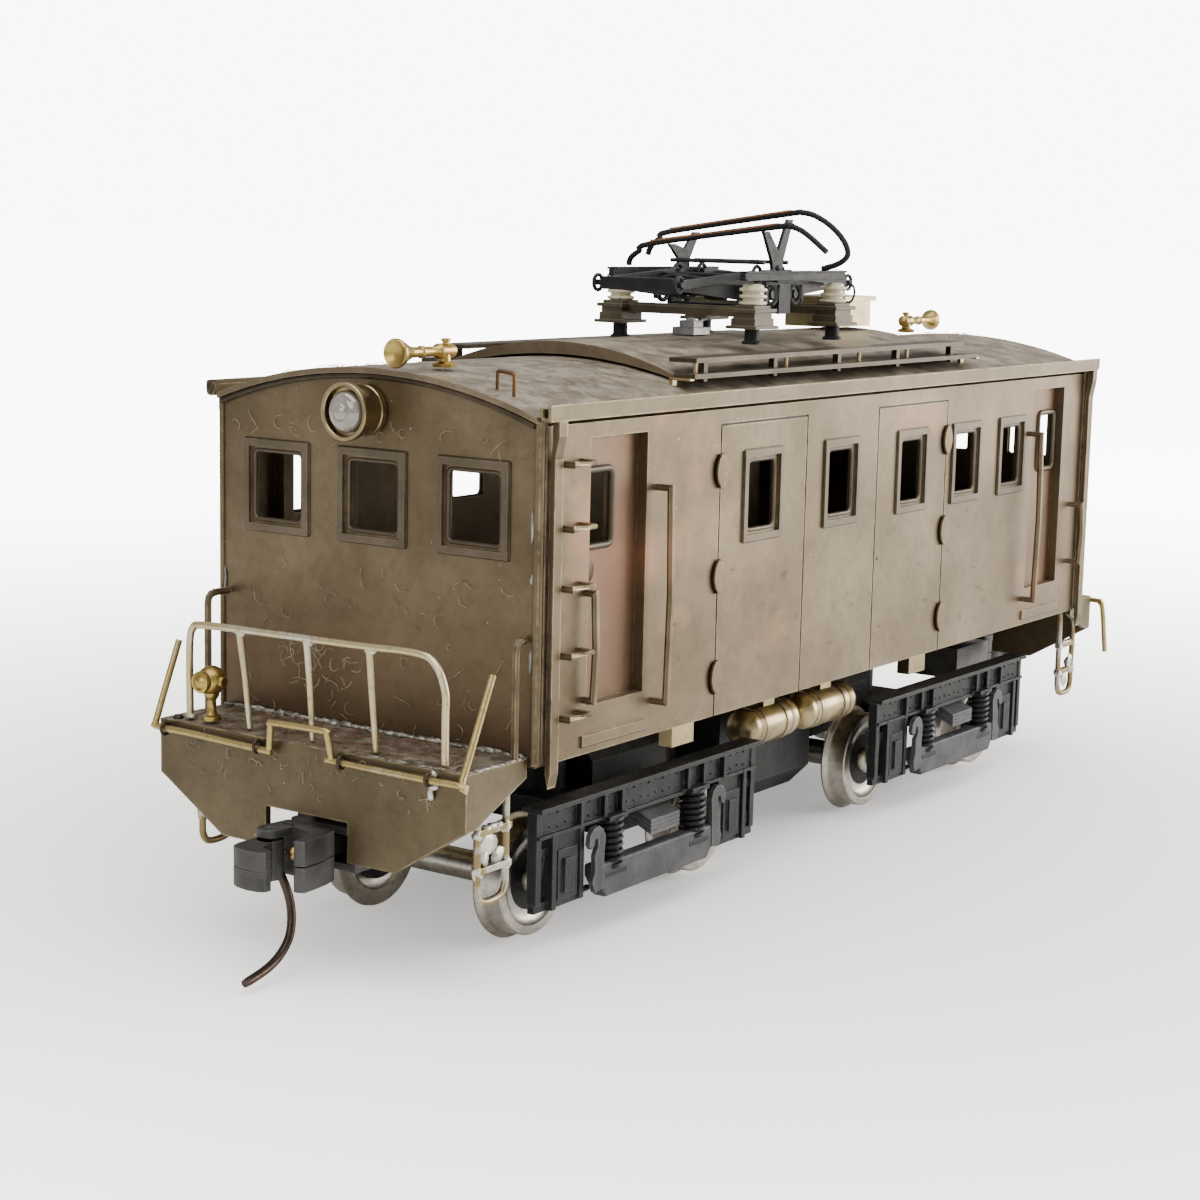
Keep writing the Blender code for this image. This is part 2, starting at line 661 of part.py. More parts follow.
def make_coupler_box(end_name, materials, half_turn):
    front, back, half, bottom, top = COUPLER_BOX
    outer = box(front, back, -half, half, bottom, top)
    hanger = box(-57.0, -51.5, -2.4, 2.4, top - 0.3, DECK_TOP - DECK_SHEET - GAP)
    mouth = box(front - 2.6, back - 0.8, BOX_WALL - half, half - BOX_WALL, bottom + BOX_WALL, top - BOX_WALL)
    pin = cylinder("z", (COUPLER_PIVOT_X, 0, 0), 0.6, bottom + 0.3, top - 0.3, 10)
    hollow = fuse([outer, hanger], [mouth])
    place(f"coupler_box_{end_name}", fuse([hollow, pin]), materials["coupler"], half_turn=half_turn)


def make_coupler(end_name, materials, half_turn):
    x, y = KNUCKLE_PIVOT
    eye = cylinder("z", (COUPLER_PIVOT_X, 0, 0), 1.8, 9.25, 10.95, 14)
    shank = box(x + 2.4, -54.2, -1.0, 1.0, 9.3, 10.9)
    head_outline = [(x + 3.0, -2.2), (x + 3.0, 2.6), (x + 1.5, 2.9), (x + 1.5, -1.4), (x - 0.2, -2.0),
                    (x - 2.0, -2.3), (x - 1.8, -3.3), (x + 1.2, -3.1)]
    head = prism(head_outline, COUPLER_Z - HEAD_HALF_HEIGHT, COUPLER_Z + HEAD_HALF_HEIGHT, "z")
    lug_outline = [(x + 1.9, 0.8), (x + 1.9, 2.9), (x - 0.6, y + 1.0), (x - 1.1, y), (x - 0.6, y - 1.0)]
    lug = prism(lug_outline, COUPLER_Z + 1.4, COUPLER_Z + HEAD_HALF_HEIGHT, "z")
    hole = cylinder("z", (COUPLER_PIVOT_X, 0, 0), 0.95, 8, 12, 12)
    place(f"coupler_{end_name}", fuse([head, shank, eye, lug], [hole]), materials["coupler"],
          origin=(COUPLER_PIVOT_X, 0, COUPLER_Z), half_turn=half_turn)


def make_knuckle(end_name, materials, half_turn):
    """The swinging hook of the coupler with its curved trip pin."""
    x, y = KNUCKLE_PIVOT
    low, high = COUPLER_Z - HEAD_HALF_HEIGHT, COUPLER_Z + 1.15
    barrel = cylinder("z", (x, y, 0), 1.15, low, high, 14)
    hook_outline = [(x - 0.1, y + 1.1), (x - 2.6, y + 1.2), (x - 3.6, y + 0.6), (x - 3.9, y - 1.2),
                    (x - 3.6, y - 2.6), (x - 2.6, y - 2.7), (x - 2.3, y - 1.3), (x - 0.4, y - 0.9)]
    hook = prism(hook_outline, low, high, "z")
    pin_path = [(x + 0.4, y - 0.6, low + 0.6), (x + 0.75, y - 1.3, 6.6), (x + 0.7, y - 1.7, 4.9),
                (x + 0.1, y - 2.0, 3.3), (x - 1.1, y - 2.1, 2.1), (x - 2.8, y - 2.2, 1.35),
                (x - 5.4, y - 2.2, 0.75)]
    trip_pin = wire(pin_path, TRIP_PIN_RADIUS, 8)
    place(f"knuckle_{end_name}", fuse([barrel, hook, trip_pin]), materials["coupler"],
          origin=(x, y, COUPLER_Z), half_turn=half_turn, smooth=40)


# ---------------------------------------------------------------- bogies

def make_side_frame(name, materials, side, half_turn):
    """A cast side frame: top beam, pedestals, coil springs, leaf spring pack and spring plank."""
    middle = -BOGIE_X
    length = FRAME_HALF_LENGTH

    def part(dx0, dx1, out0, out1, z0, z1):
        return box(middle + dx0, middle + dx1, side * out0, side * out1, z0, z1)

    solids = [part(-length, length, 11.9, 13.1, BEAM_BOTTOM_Z, FRAME_TOP - 0.3),
              part(-length, length, 11.5, 13.6, FRAME_TOP - 0.6, FRAME_TOP)]
    for sign in (-1, 1):
        solids.append(part(sign * 10.4, sign * 15.6, 11.6, 13.0, 3.9, 10.6))
        solids.append(part(sign * 15.3, sign * (length - 0.1), 12.0, 12.8, 4.6, 10.6))
        solids.append(part(sign * 8.6, sign * 10.9, 12.5, 13.8, 4.4, 10.0))
        spring_at = (middle + sign * SPRING_X, side * 13.0, 0)
        solids.append(cylinder("z", spring_at, SPRING_RADIUS, *SPRING_Z, 10))
    solids.append(part(-3.4, 3.4, 11.4, 14.0, 7.2, 8.6))
    solids.append(part(-1.0, 1.0, 12.2, 13.2, 5.8, 10.6))
    bottom, top = PLANK_Z
    plank = [(middle - 9.6, top), (middle - 8.4, bottom), (middle + 8.4, bottom), (middle + 9.6, top)]
    low, high = sorted((side * 12.3, side * 13.3))
    solids.append(prism(plank, low, high, "y"))
    cuts = []
    for sign in (-1, 1):
        low, high = sorted((side * 10.0, side * 12.4))
        cuts.append(cylinder("y", (middle + sign * HALF_WHEELBASE, 0, AXLE_Z), 0.9, low, high, 12))
    place(name, fuse(solids, cuts), materials["black"], half_turn=half_turn)


def make_bolster(end_name, materials, half_turn):
    """The bogie bolster with its king pin boss and the cover over the worm gear."""
    middle = -BOGIE_X
    beam = box(middle - 4.0, middle + 4.0, -11.1, 11.1, 7.6, 9.8)
    boss = cylinder("z", (middle, 0, 0), 3.0, 9.0, 17.9, 20)
    cover_outline = [(-4.4, 7.6), (4.4, 7.6), (4.4, 12.0), (3.4, 13.2), (-3.4, 13.2), (-4.4, 12.0)]
    cover = prism(cover_outline, middle + 3.2, -14.0, "x")
    inside = box(-24.6, -14.7, -3.5, 3.5, 0, 12.3)
    slot = box(-15.5, -13.5, -0.95, 0.95, 0, SHAFT_Z + 1.0)
    pin_hole = cylinder("z", (middle, 0, 0), 1.35, 0, 30, 16)
    solid = fuse([beam, boss, cover], [inside, slot, pin_hole])
    place(f"bogie_bolster_{end_name}", solid, materials["black"], origin=(middle, 0, 0),
          half_turn=half_turn, smooth=35)


def make_king_pin(end_name, materials, half_turn):
    profile = [(0.0, 6.8), (2.1, 6.8), (2.1, 7.3), (1.0, 7.3), (1.0, 18.1), (0.0, 18.1)]
    place(f"king_pin_{end_name}", turned(profile, "z", (-BOGIE_X, 0, 0), 10), materials["steel"],
          half_turn=half_turn, smooth=35)


def gear_outline(teeth, tip, root, centre):
    points = []
    for tooth in range(teeth):
        start = 2 * math.pi * tooth / teeth
        pitch = 2 * math.pi / teeth
        for radius, part in ((root, -0.30), (tip, -0.16), (tip, 0.16), (root, 0.30)):
            angle = start + pitch * part
            points.append((centre[0] + radius * math.sin(angle), centre[1] + radius * math.cos(angle)))
    return points


def make_wheelset(name, materials, driven, axle_x, half_turn):
    half = [(0.5, 12.0), (0.5, 10.5), (1.5, 10.4), (1.5, 9.4), (4.0, 9.6), (4.1, 9.85),
            (TREAD_RADIUS - 0.05, 9.85), (TREAD_RADIUS + 0.05, 7.95), (FLANGE_RADIUS, 7.7),
            (FLANGE_RADIUS, 7.45), (FLANGE_RADIUS - 0.25, HALF_BACK_TO_BACK), (1.5, HALF_BACK_TO_BACK)]
    profile = [(0.0, 12.0)] + half + [(r, -y) for r, y in reversed(half)] + [(0.0, -12.0)]
    mesh = turned(profile, "y", (axle_x, 0, AXLE_Z), 16)
    if driven:
        gear = prism(gear_outline(WORM_TEETH, 2.7, 2.2, (axle_x, AXLE_Z)), -1.1, 1.1, "y")
        mesh = fuse([mesh, gear])
    place(name, mesh, materials["steel"], origin=(axle_x, 0, AXLE_Z), half_turn=half_turn, smooth=35)


def make_worm_shaft(end_name, materials, half_turn):
    """A single-start worm on a thin shaft that ends in the ball of the universal joint."""
    sides = 8
    start, end = -18.9, -15.1
    pitch = math.pi * 0.4
    rows = 12
    mesh = bmesh.new()
    centre = Vector((0, 0, SHAFT_Z))

    def ring(x, mean, thread=0.0, turn=0.0):
        verts = []
        for step in range(sides):
            angle = 2 * math.pi * step / sides
            radius = mean + thread * math.cos(turn - angle)
            spoke = Vector((x, radius * math.cos(angle), radius * math.sin(angle)))
            verts.append(mesh.verts.new(centre + spoke))
        return verts

    rings = [ring(-24.0, 0.5), ring(start - 0.05, 0.5)]
    for row in range(rows + 1):
        x = start + (end - start) * row / rows
        rings.append(ring(x, 1.25, 0.22, 2 * math.pi * x / pitch))
    for x, radius in ((end + 0.05, 0.5), (-12.6, 0.5), (-12.4, 0.65), (-11.9, 0.7), (-11.5, 0.4)):
        rings.append(ring(x, radius))
    for lower, upper in zip(rings, rings[1:]):
        for step in range(sides):
            after = (step + 1) % sides
            mesh.faces.new((lower[step], lower[after], upper[after], upper[step]))
    mesh.faces.new(list(reversed(rings[0])))
    mesh.faces.new(rings[-1])
    place(f"worm_shaft_{end_name}", mesh, materials["steel"], origin=(-16.5, 0, SHAFT_Z),
          half_turn=half_turn, smooth=40)


# ---------------------------------------------------------------- underframe

def make_floor(materials):
    inner_x = BODY_HALF_LENGTH - SHEET - GAP
    inner_y = BODY_HALF_WIDTH - SHEET - GAP - 1.0
    solids = [box(-inner_x, inner_x, -inner_y, inner_y, 18.4, 19.4), box(-3.5, 3.5, -4.5, 4.5, 16.7, 18.7)]
    for x in (-BRACKET_X, BRACKET_X):
        for side in (-1, 1):
            y0, y1 = sorted((side * 10.6, side * 12.0))
            solids.append(box(x - 1.8, x + 1.8, y0, y1, 14.2, 18.7))
    place("chassis_floor", fuse(solids), materials["brass"])


def make_tank(name, materials, x0, x1):
    radius = TANK_RADIUS
    centre = (0, *TANK_AXIS)
    profile = [(0.0, x0)]
    for step in range(1, 5):
        angle = math.pi / 2 * step / 4
        profile.append((radius * math.sin(angle), x0 + 1.2 * (1 - math.cos(angle))))
    profile += [(radius, x1 - 1.0), (radius * 0.7, x1 - 0.3), (0.0, x1)]
    tank = turned(profile, "x", centre, 14)
    middle = (x0 + x1) / 2
    hanger = box(middle - 1.0, middle + 1.0, -10.8, -9.6, 14.0, 18.4 - GAP)
    place(name, fuse([tank, hanger]), materials["brass"], smooth=35)


def make_motor(materials):
    half, side = MOTOR_HALF
    bottom, top = MOTOR_Z
    flat = side - MOTOR_BEVEL
    outline = [(-side, bottom + MOTOR_BEVEL), (-flat, bottom), (flat, bottom), (side, bottom + MOTOR_BEVEL),
               (side, top - MOTOR_BEVEL), (flat, top), (-flat, top), (-side, top - MOTOR_BEVEL)]
    can = prism(outline, -half, half, "x")
    chamber = cylinder("x", (0, 0, SHAFT_Z), 4.9, 1.0 - half, half - 1.0, 16)
    bore = cylinder("x", (0, 0, SHAFT_Z), 1.0, -12, 12, 12)
    place("motor_case", fuse([can], [chamber, bore]), materials["black"])
    profile = [(0.0, -10.4), (0.65, -10.4), (0.65, -6.6), (1.8, -6.6), (1.8, -5.0), (4.4, -5.0), (4.4, 5.2),
               (0.65, 5.2), (0.65, 10.4), (0.0, 10.4)]
    solids = [turned(profile, "x", (0, 0, SHAFT_Z), 12)]
    for sign in (-1, 1):
        cup = [(0.0, sign * 9.7), (2.8, sign * 9.7), (2.8, sign * 13.1), (2.35, sign * 13.1),
               (2.35, sign * 10.4), (0.0, sign * 10.4)]
        solids.append(turned(cup, "x", (0, 0, SHAFT_Z), 14))
    place("motor_armature", fuse(solids), materials["steel"], origin=(0, 0, SHAFT_Z), smooth=35)


# ---------------------------------------------------------------- roof equipment

def make_mount(name, materials, half_turn):
    """A roof cross bar on two stepped feet, each carrying a ribbed insulator."""
    solids = [box(-FOOT_X - 0.6, -FOOT_X + 0.6, -FOOT_Y, FOOT_Y, 52.3, 53.2)]
    for y in (-FOOT_Y, FOOT_Y):
        centre = (-FOOT_X, y, 0)
        base = hatch_top(FOOT_Y + abs(PANTOGRAPH_Y)) + GAP + 0.45
        solids.append(cylinder("z", centre, 0.75, base, 51.5, 10))
        solids.append(box(-FOOT_X - 2.1, -FOOT_X + 2.1, y - 1.7, y + 1.7, 51.3, 51.7))
        solids.append(box(-FOOT_X - 1.7, -FOOT_X + 1.7, y - 1.3, y + 1.3, 51.5, 53.1))
        solids.append(box(-FOOT_X - 2.0, -FOOT_X + 2.0, y - 1.5, y + 1.5, 52.9, 53.6))
        solids.append(cylinder("z", centre, *INSULATOR, 10))
    place(name, fuse(solids), materials["porcelain"], half_turn=half_turn, shift_y=PANTOGRAPH_Y)


def make_pantograph_base(materials):
    """Two long rails on the insulators, and the inner plates that hold the main shafts."""
    solids = [box(-0.8, 0.8, -6.2, 6.2, 52.5, 53.3)]
    for side in (-1, 1):
        for x, low, high, z0, z1 in ((9.6, 7.1, 8.0, 55.8, 56.7), (3.6, 5.95, 6.55, 52.5, 56.2),
                                     (3.0, 6.25, 7.45, 55.6, 56.3)):
            y0, y1 = sorted((side * low, side * high))
            solids.append(box(-x, x, y0, y1, z0, z1))
    cuts = []
    for x in (-PIVOT_OFFSET, PIVOT_OFFSET):
        cuts.append(cylinder("y", (x, 0, SHAFT_PIVOT_Z), 0.75, -6.8, -5.7, 12))
        cuts.append(cylinder("y", (x, 0, SHAFT_PIVOT_Z), 0.75, 5.7, 6.8, 12))
    place("pantograph_base", fuse(solids, cuts), materials["black"], shift_y=PANTOGRAPH_Y)


def knee_point():
    return (-PIVOT_OFFSET - ARM_LENGTH * math.cos(ARM_REST_ANGLE),
            SHAFT_PIVOT_Z + ARM_LENGTH * math.sin(ARM_REST_ANGLE))


def head_pivot_z():
    return SHAFT_PIVOT_Z + 2 * ARM_LENGTH * math.sin(ARM_REST_ANGLE)


def make_lower_arm(name, materials, half_turn):
    knee_x, knee_z = knee_point()
    shaft = cylinder("y", (-PIVOT_OFFSET, 0, SHAFT_PIVOT_Z), 0.45, -SHAFT_HALF_LENGTH, SHAFT_HALF_LENGTH, 12)
    knee = turned([(0.0, -4.95), (0.28, -4.95), (0.28, -4.0), (0.6, -4.0), (0.6, 4.0), (0.28, 4.0),
                   (0.28, 4.95), (0.0, 4.95)], "y", (knee_x, 0, knee_z), 12)
    solids = [shaft, knee]
    arm_y = LOWER_ARM_Y
    for y in (-arm_y, arm_y):
        solids.append(wire([(-PIVOT_OFFSET, y, SHAFT_PIVOT_Z), (knee_x, y, knee_z)], 0.38, 8))
    solids.append(wire([(-PIVOT_OFFSET, -arm_y, SHAFT_PIVOT_Z), (knee_x, arm_y, knee_z)], 0.25))
    place(name, fuse(solids), materials["black"], origin=(-PIVOT_OFFSET, 0, SHAFT_PIVOT_Z),
          half_turn=half_turn, smooth=40, shift_y=PANTOGRAPH_Y)


def make_upper_arm(name, materials, half_turn):
    knee_x, knee_z = knee_point()
    top = head_pivot_z()
    arm_y = UPPER_ARM_Y
    solids = []
    cuts = []
    for y in (-arm_y, arm_y):
        ends = [(knee_x + 0.7, y, knee_z + 0.05), (-PIVOT_OFFSET - 0.7, y, top - 0.05)]
        solids.append(wire(ends, 0.32, 6))
        for x, z in ((knee_x, knee_z), (-PIVOT_OFFSET, top)):
            solids.append(cylinder("y", (x, y, z), 0.85, -0.3, 0.3, 10))
            cuts.append(cylinder("y", (x, y, z), 0.52, -0.6, 0.6, 8))
    brace_x = -PIVOT_OFFSET - 2.6
    brace_z = top - 2.6 * math.tan(ARM_REST_ANGLE)
    solids.append(wire([(brace_x, -arm_y, brace_z), (brace_x, arm_y, brace_z)], 0.26))
    low_end = (knee_x + 6.0, -arm_y, knee_z + 6.0 * math.tan(ARM_REST_ANGLE))
    solids.append(wire([(brace_x, arm_y, brace_z), low_end], 0.22))
    place(name, fuse(solids, cuts), materials["black"], origin=(knee_x, 0, knee_z), half_turn=half_turn,
          smooth=40, shift_y=PANTOGRAPH_Y)


def make_head(materials):
    """The collector head: two bent strips that lean down to the far side, on two side plates."""
    top = head_pivot_z()
    front_strip = [(9.2, 56.7), (9.1, 57.1), (8.1, 58.1), (6.5, 59.0), (-8.0, 60.9), (-10.1, 60.8),
                   (-11.8, 59.8), (-13.5, 58.6)]
    rear_strip = [(9.9, 57.8), (9.5, 58.6), (8.7, 59.3), (7.2, 60.2), (-6.8, 62.2), (-8.7, 62.3),
                  (-11.2, 61.3), (-13.2, 59.4), (-13.3, 58.5), (-12.8, 57.8), (-10.4, 57.0)]
    solids = []
    for x, path in ((-PIVOT_OFFSET, front_strip), (PIVOT_OFFSET, rear_strip)):
        solids.append(wire([(x, y - PANTOGRAPH_Y, z) for y, z in path], 0.38, 8))
    plate_y = HEAD_PLATE_Y
    for side in (-1, 1):
        y0, y1 = side * plate_y - 0.25, side * plate_y + 0.25
        middle = side * plate_y + PANTOGRAPH_Y
        front = strip_height(front_strip, middle)
        rear = strip_height(rear_strip, middle)
        plate = [(-2.9, top - 0.6), (2.9, top - 0.6), (3.0, top + 0.6), (2.6, rear + 0.05),
                 (1.6, rear + 0.05), (1.2, top + 1.4), (-1.2, top + 1.4), (-1.6, front + 0.05),
                 (-2.6, front + 0.05), (-3.0, top + 0.6)]
        solids.append(prism(plate, y0, y1, "y"))
        for x in (-PIVOT_OFFSET, PIVOT_OFFSET):
            p0, p1 = sorted((side * 4.05, side * plate_y))
            solids.append(cylinder("y", (x, 0, top), 0.28, p0, p1, 8))
    for x in (-PIVOT_OFFSET, PIVOT_OFFSET):
        solids.append(wire([(x, -plate_y, top + 1.1), (x, plate_y, top + 1.1)], 0.22, 6))
    place("pantograph_head", fuse(solids), materials["black"], origin=(-PIVOT_OFFSET, 0, top), smooth=40,
          shift_y=PANTOGRAPH_Y)


def strip_height(path, y):
    """Height of a strip's centre line on its long straight run."""
    (y0, z0), (y1, z1) = max(zip(path, path[1:]), key=lambda run: run[0][0] - run[1][0])
    return z0 + (z1 - z0) * (y - y0) / (y1 - y0)


def make_roof_box(materials):
    base = HATCH_APEX + GAP
    front, back, half, height = ROOF_BOX
    along, across, lid = ROOF_BOX_LID
    case = box(front, back, -half, half, base, base + height)
    cover = box(front - along, back + along, -half - across, half + across, base + height - 0.2,
                base + height + lid)
    place("roof_box", fuse([case, cover]), materials["brass"])


# ---------------------------------------------------------------- assembly

def build():
    clear_scene()
    materials = make_materials()
    make_body_shell(materials)
    make_roof(materials)
    make_hatch(materials)
    make_floor(materials)
    make_motor(materials)
    make_tank("air_tank_front", materials, -10.6, -0.9)
    make_tank("air_tank_rear", materials, 0.2, 10.6)
    make_roof_box(materials)
    make_pantograph_base(materials)
    make_head(materials)
    make_front_lever(materials)
    make_rear_lever(materials)
    for side_name, far in (("near", False), ("far", True)):
        make_walkway(f"walkway_{side_name}", materials, far)
        make_gutter(f"gutter_{side_name}", materials, far)
    for end_name, half_turn in (("front", False), ("rear", True)):
        make_headlamp(end_name, materials, half_turn)
        make_marker_lamp(end_name, materials, half_turn)
        make_whistle(end_name, materials, half_turn)
        make_platform(end_name, materials, half_turn)
        make_gallery_rail(end_name, materials, half_turn)
        make_coupler_box(end_name, materials, half_turn)
        make_coupler(end_name, materials, half_turn)
        make_knuckle(end_name, materials, half_turn)
        make_bolster(end_name, materials, half_turn)
        make_king_pin(end_name, materials, half_turn)
        make_worm_shaft(end_name, materials, half_turn)
        make_mount(f"pantograph_mount_{end_name}", materials, half_turn)
        make_lower_arm(f"lower_arm_{end_name}", materials, half_turn)
        make_upper_arm(f"upper_arm_{end_name}", materials, half_turn)
        outer_x = -BOGIE_X - HALF_WHEELBASE
        inner_x = -BOGIE_X + HALF_WHEELBASE
        make_wheelset(f"wheelset_{end_name}_outer", materials, False, outer_x, half_turn)
        make_wheelset(f"wheelset_{end_name}_inner", materials, True, inner_x, half_turn)
        for side_name, side in (("near", -1), ("far", 1)):
            turned_side = -side if half_turn else side
            make_step(end_name, side_name, materials, turned_side, half_turn)
            make_side_frame(f"side_frame_{end_name}_{side_name}", materials, turned_side, half_turn)


build()
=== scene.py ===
"""The looks of a small brass box-cab electric locomotive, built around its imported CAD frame.

Lengths are written in millimetres and turned into metres by MM. +X is the rear end, the near side faces -Y.
"""
import json
import math
import random

import bmesh
import bpy
from mathutils import Matrix, Vector


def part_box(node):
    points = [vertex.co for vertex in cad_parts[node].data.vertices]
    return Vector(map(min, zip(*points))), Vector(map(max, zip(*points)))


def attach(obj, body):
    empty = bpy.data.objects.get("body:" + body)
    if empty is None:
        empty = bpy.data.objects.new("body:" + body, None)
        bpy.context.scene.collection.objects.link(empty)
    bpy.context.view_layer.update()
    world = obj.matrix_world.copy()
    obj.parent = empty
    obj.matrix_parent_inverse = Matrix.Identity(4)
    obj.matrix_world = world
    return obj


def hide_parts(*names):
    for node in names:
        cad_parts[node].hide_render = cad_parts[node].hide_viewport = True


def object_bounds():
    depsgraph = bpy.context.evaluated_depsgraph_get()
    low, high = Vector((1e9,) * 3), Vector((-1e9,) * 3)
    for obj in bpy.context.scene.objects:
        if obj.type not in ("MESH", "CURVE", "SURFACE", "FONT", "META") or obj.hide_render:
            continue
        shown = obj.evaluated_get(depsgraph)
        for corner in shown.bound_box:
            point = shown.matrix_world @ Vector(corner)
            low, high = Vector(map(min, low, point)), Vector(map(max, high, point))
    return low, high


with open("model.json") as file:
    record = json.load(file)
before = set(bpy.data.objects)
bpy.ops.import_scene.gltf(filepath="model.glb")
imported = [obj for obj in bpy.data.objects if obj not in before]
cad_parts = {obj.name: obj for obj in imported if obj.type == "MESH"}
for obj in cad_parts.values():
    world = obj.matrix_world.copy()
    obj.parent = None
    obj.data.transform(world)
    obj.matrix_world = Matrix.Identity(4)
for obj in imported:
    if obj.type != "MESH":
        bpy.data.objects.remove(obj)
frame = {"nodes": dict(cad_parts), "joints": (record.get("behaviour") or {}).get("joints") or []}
CAD_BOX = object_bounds()

MM = 0.001
NODES = frame["nodes"]
ENDS = ("front", "rear")
SIDES = ("near", "far")
X, Y, Z = Vector((1, 0, 0)), Vector((0, 1, 0)), Vector((0, 0, 1))

# The camera stands ahead of the front end on the near side, about as high as the pantograph.
CAMERA_PLACE = (-199.52, -124.71, 60.91)
CAMERA_YAW, CAMERA_PITCH, CAMERA_ROLL = (math.radians(angle) for angle in (34.690, -9.1135, 1.2458))
CAMERA_LENS = 70.58
CAMERA_SENSOR = 36.0

# Metres, and the strength at which the backdrop renders white.
FLOOR_REACH = 6.0
FLOOR_GAP = 0.0001
WHITE = 9.0


# ---------------------------------------------------------------- stage, camera and lights

def add_object(name, data):
    made = bpy.data.objects.new(name, data)
    bpy.context.scene.collection.objects.link(made)
    return made


def make_camera():
    ahead = Vector((math.cos(CAMERA_PITCH) * math.cos(CAMERA_YAW),
                    math.cos(CAMERA_PITCH) * math.sin(CAMERA_YAW),
                    math.sin(CAMERA_PITCH)))
    level = ahead.cross(Z).normalized()
    upright = level.cross(ahead)
    right = level * math.cos(CAMERA_ROLL) + upright * math.sin(CAMERA_ROLL)
    up = upright * math.cos(CAMERA_ROLL) - level * math.sin(CAMERA_ROLL)
    data = bpy.data.cameras.new("camera")
    data.lens = CAMERA_LENS
    data.sensor_width = CAMERA_SENSOR
    data.clip_start = 0.01
    data.clip_end = 20.0
    camera = add_object("camera", data)
    turn = Matrix((right, up, -ahead)).transposed().to_4x4()
    camera.matrix_world = Matrix.Translation(Vector(CAMERA_PLACE) * MM) @ turn
    bpy.context.scene.camera = camera


def make_floor():
    """Pale paper that glows more the farther it is from the model, as an overexposed backdrop does."""
    mesh = bmesh.new()
    bmesh.ops.create_grid(mesh, x_segments=2, y_segments=2, size=FLOOR_REACH)
    bmesh.ops.translate(mesh, vec=(0, 0, CAD_BOX[0][2] - FLOOR_GAP), verts=mesh.verts)
    data = bpy.data.meshes.new("floor")
    mesh.to_mesh(data)
    mesh.free()
    paper = Finish("paper", 0.9, Base_Color=(0.95, 0.95, 0.94, 1.0), Emission_Color=(1.0, 1.0, 1.0, 1.0))
    distance = paper.node("ShaderNodeVectorMath", operation="LENGTH")
    paper.feed(paper.where, distance.inputs[0])
    ramp = paper.node("ShaderNodeMapRange", interpolation_type="SMOOTHSTEP")
    set_sockets(ramp, From_Min=0.02, From_Max=0.34, To_Min=0.35, To_Max=WHITE)
    paper.feed(distance.outputs["Value"], ramp.inputs["Value"])
    seen = paper.node("ShaderNodeLightPath").outputs["Is Camera Ray"]
    paper.feed(paper.times(ramp.outputs["Result"], seen), paper.shader.inputs["Emission Strength"])
    data.materials.append(paper.material)
    add_object("floor", data)


def add_light(name, place, size, power, tint):
    """A card of light that faces the middle of the model."""
    data = bpy.data.lights.new(name, "AREA")
    data.shape = "RECTANGLE"
    data.size, data.size_y = size
    data.energy = power
    data.color = tint
    light = add_object(name, data)
    light.location = place
    light.rotation_euler = (Vector((0.0, 0.0, 0.03)) - Vector(place)).to_track_quat("-Z", "Y").to_euler()
    light.visible_camera = False


def make_lights():
    add_light("side_card", (0.42, -0.36, 0.16), (0.5, 0.3), 4.9, (1.0, 0.95, 0.89))
    add_light("top_card", (-0.05, -0.10, 0.55), (0.7, 0.6), 4.6, (1.0, 0.98, 0.95))
    add_light("front_fill", (-0.55, -0.05, 0.28), (0.4, 0.3), 1.1, (1.0, 0.90, 0.76))


def make_world():
    """White where the camera sees it, and a much weaker warm white as light."""
    world = bpy.data.worlds.new("studio")
    world.use_nodes = True
    tree = world.node_tree
    tree.nodes.clear()
    out = tree.nodes.new("ShaderNodeOutputWorld")
    mix = tree.nodes.new("ShaderNodeMixShader")
    path = tree.nodes.new("ShaderNodeLightPath")
    tree.links.new(path.outputs["Is Camera Ray"], mix.inputs["Fac"])
    tree.links.new(mix.outputs["Shader"], out.inputs["Surface"])
    for socket, colour, strength in ((1, (1.0, 0.98, 0.95, 1.0), 0.55), (2, (1.0, 1.0, 1.0, 1.0), WHITE)):
        sky = tree.nodes.new("ShaderNodeBackground")
        set_sockets(sky, Color=colour, Strength=strength)
        tree.links.new(sky.outputs["Background"], mix.inputs[socket])
    bpy.context.scene.world = world


# ---------------------------------------------------------------- materials

def set_sockets(node, **values):
    """Set free sockets by name; an underscore stands for a space."""
    for name, value in values.items():
        node.inputs[name.replace("_", " ")].default_value = value


def shade(colour, factor):
    return tuple(min(1.0, part * factor) for part in colour)


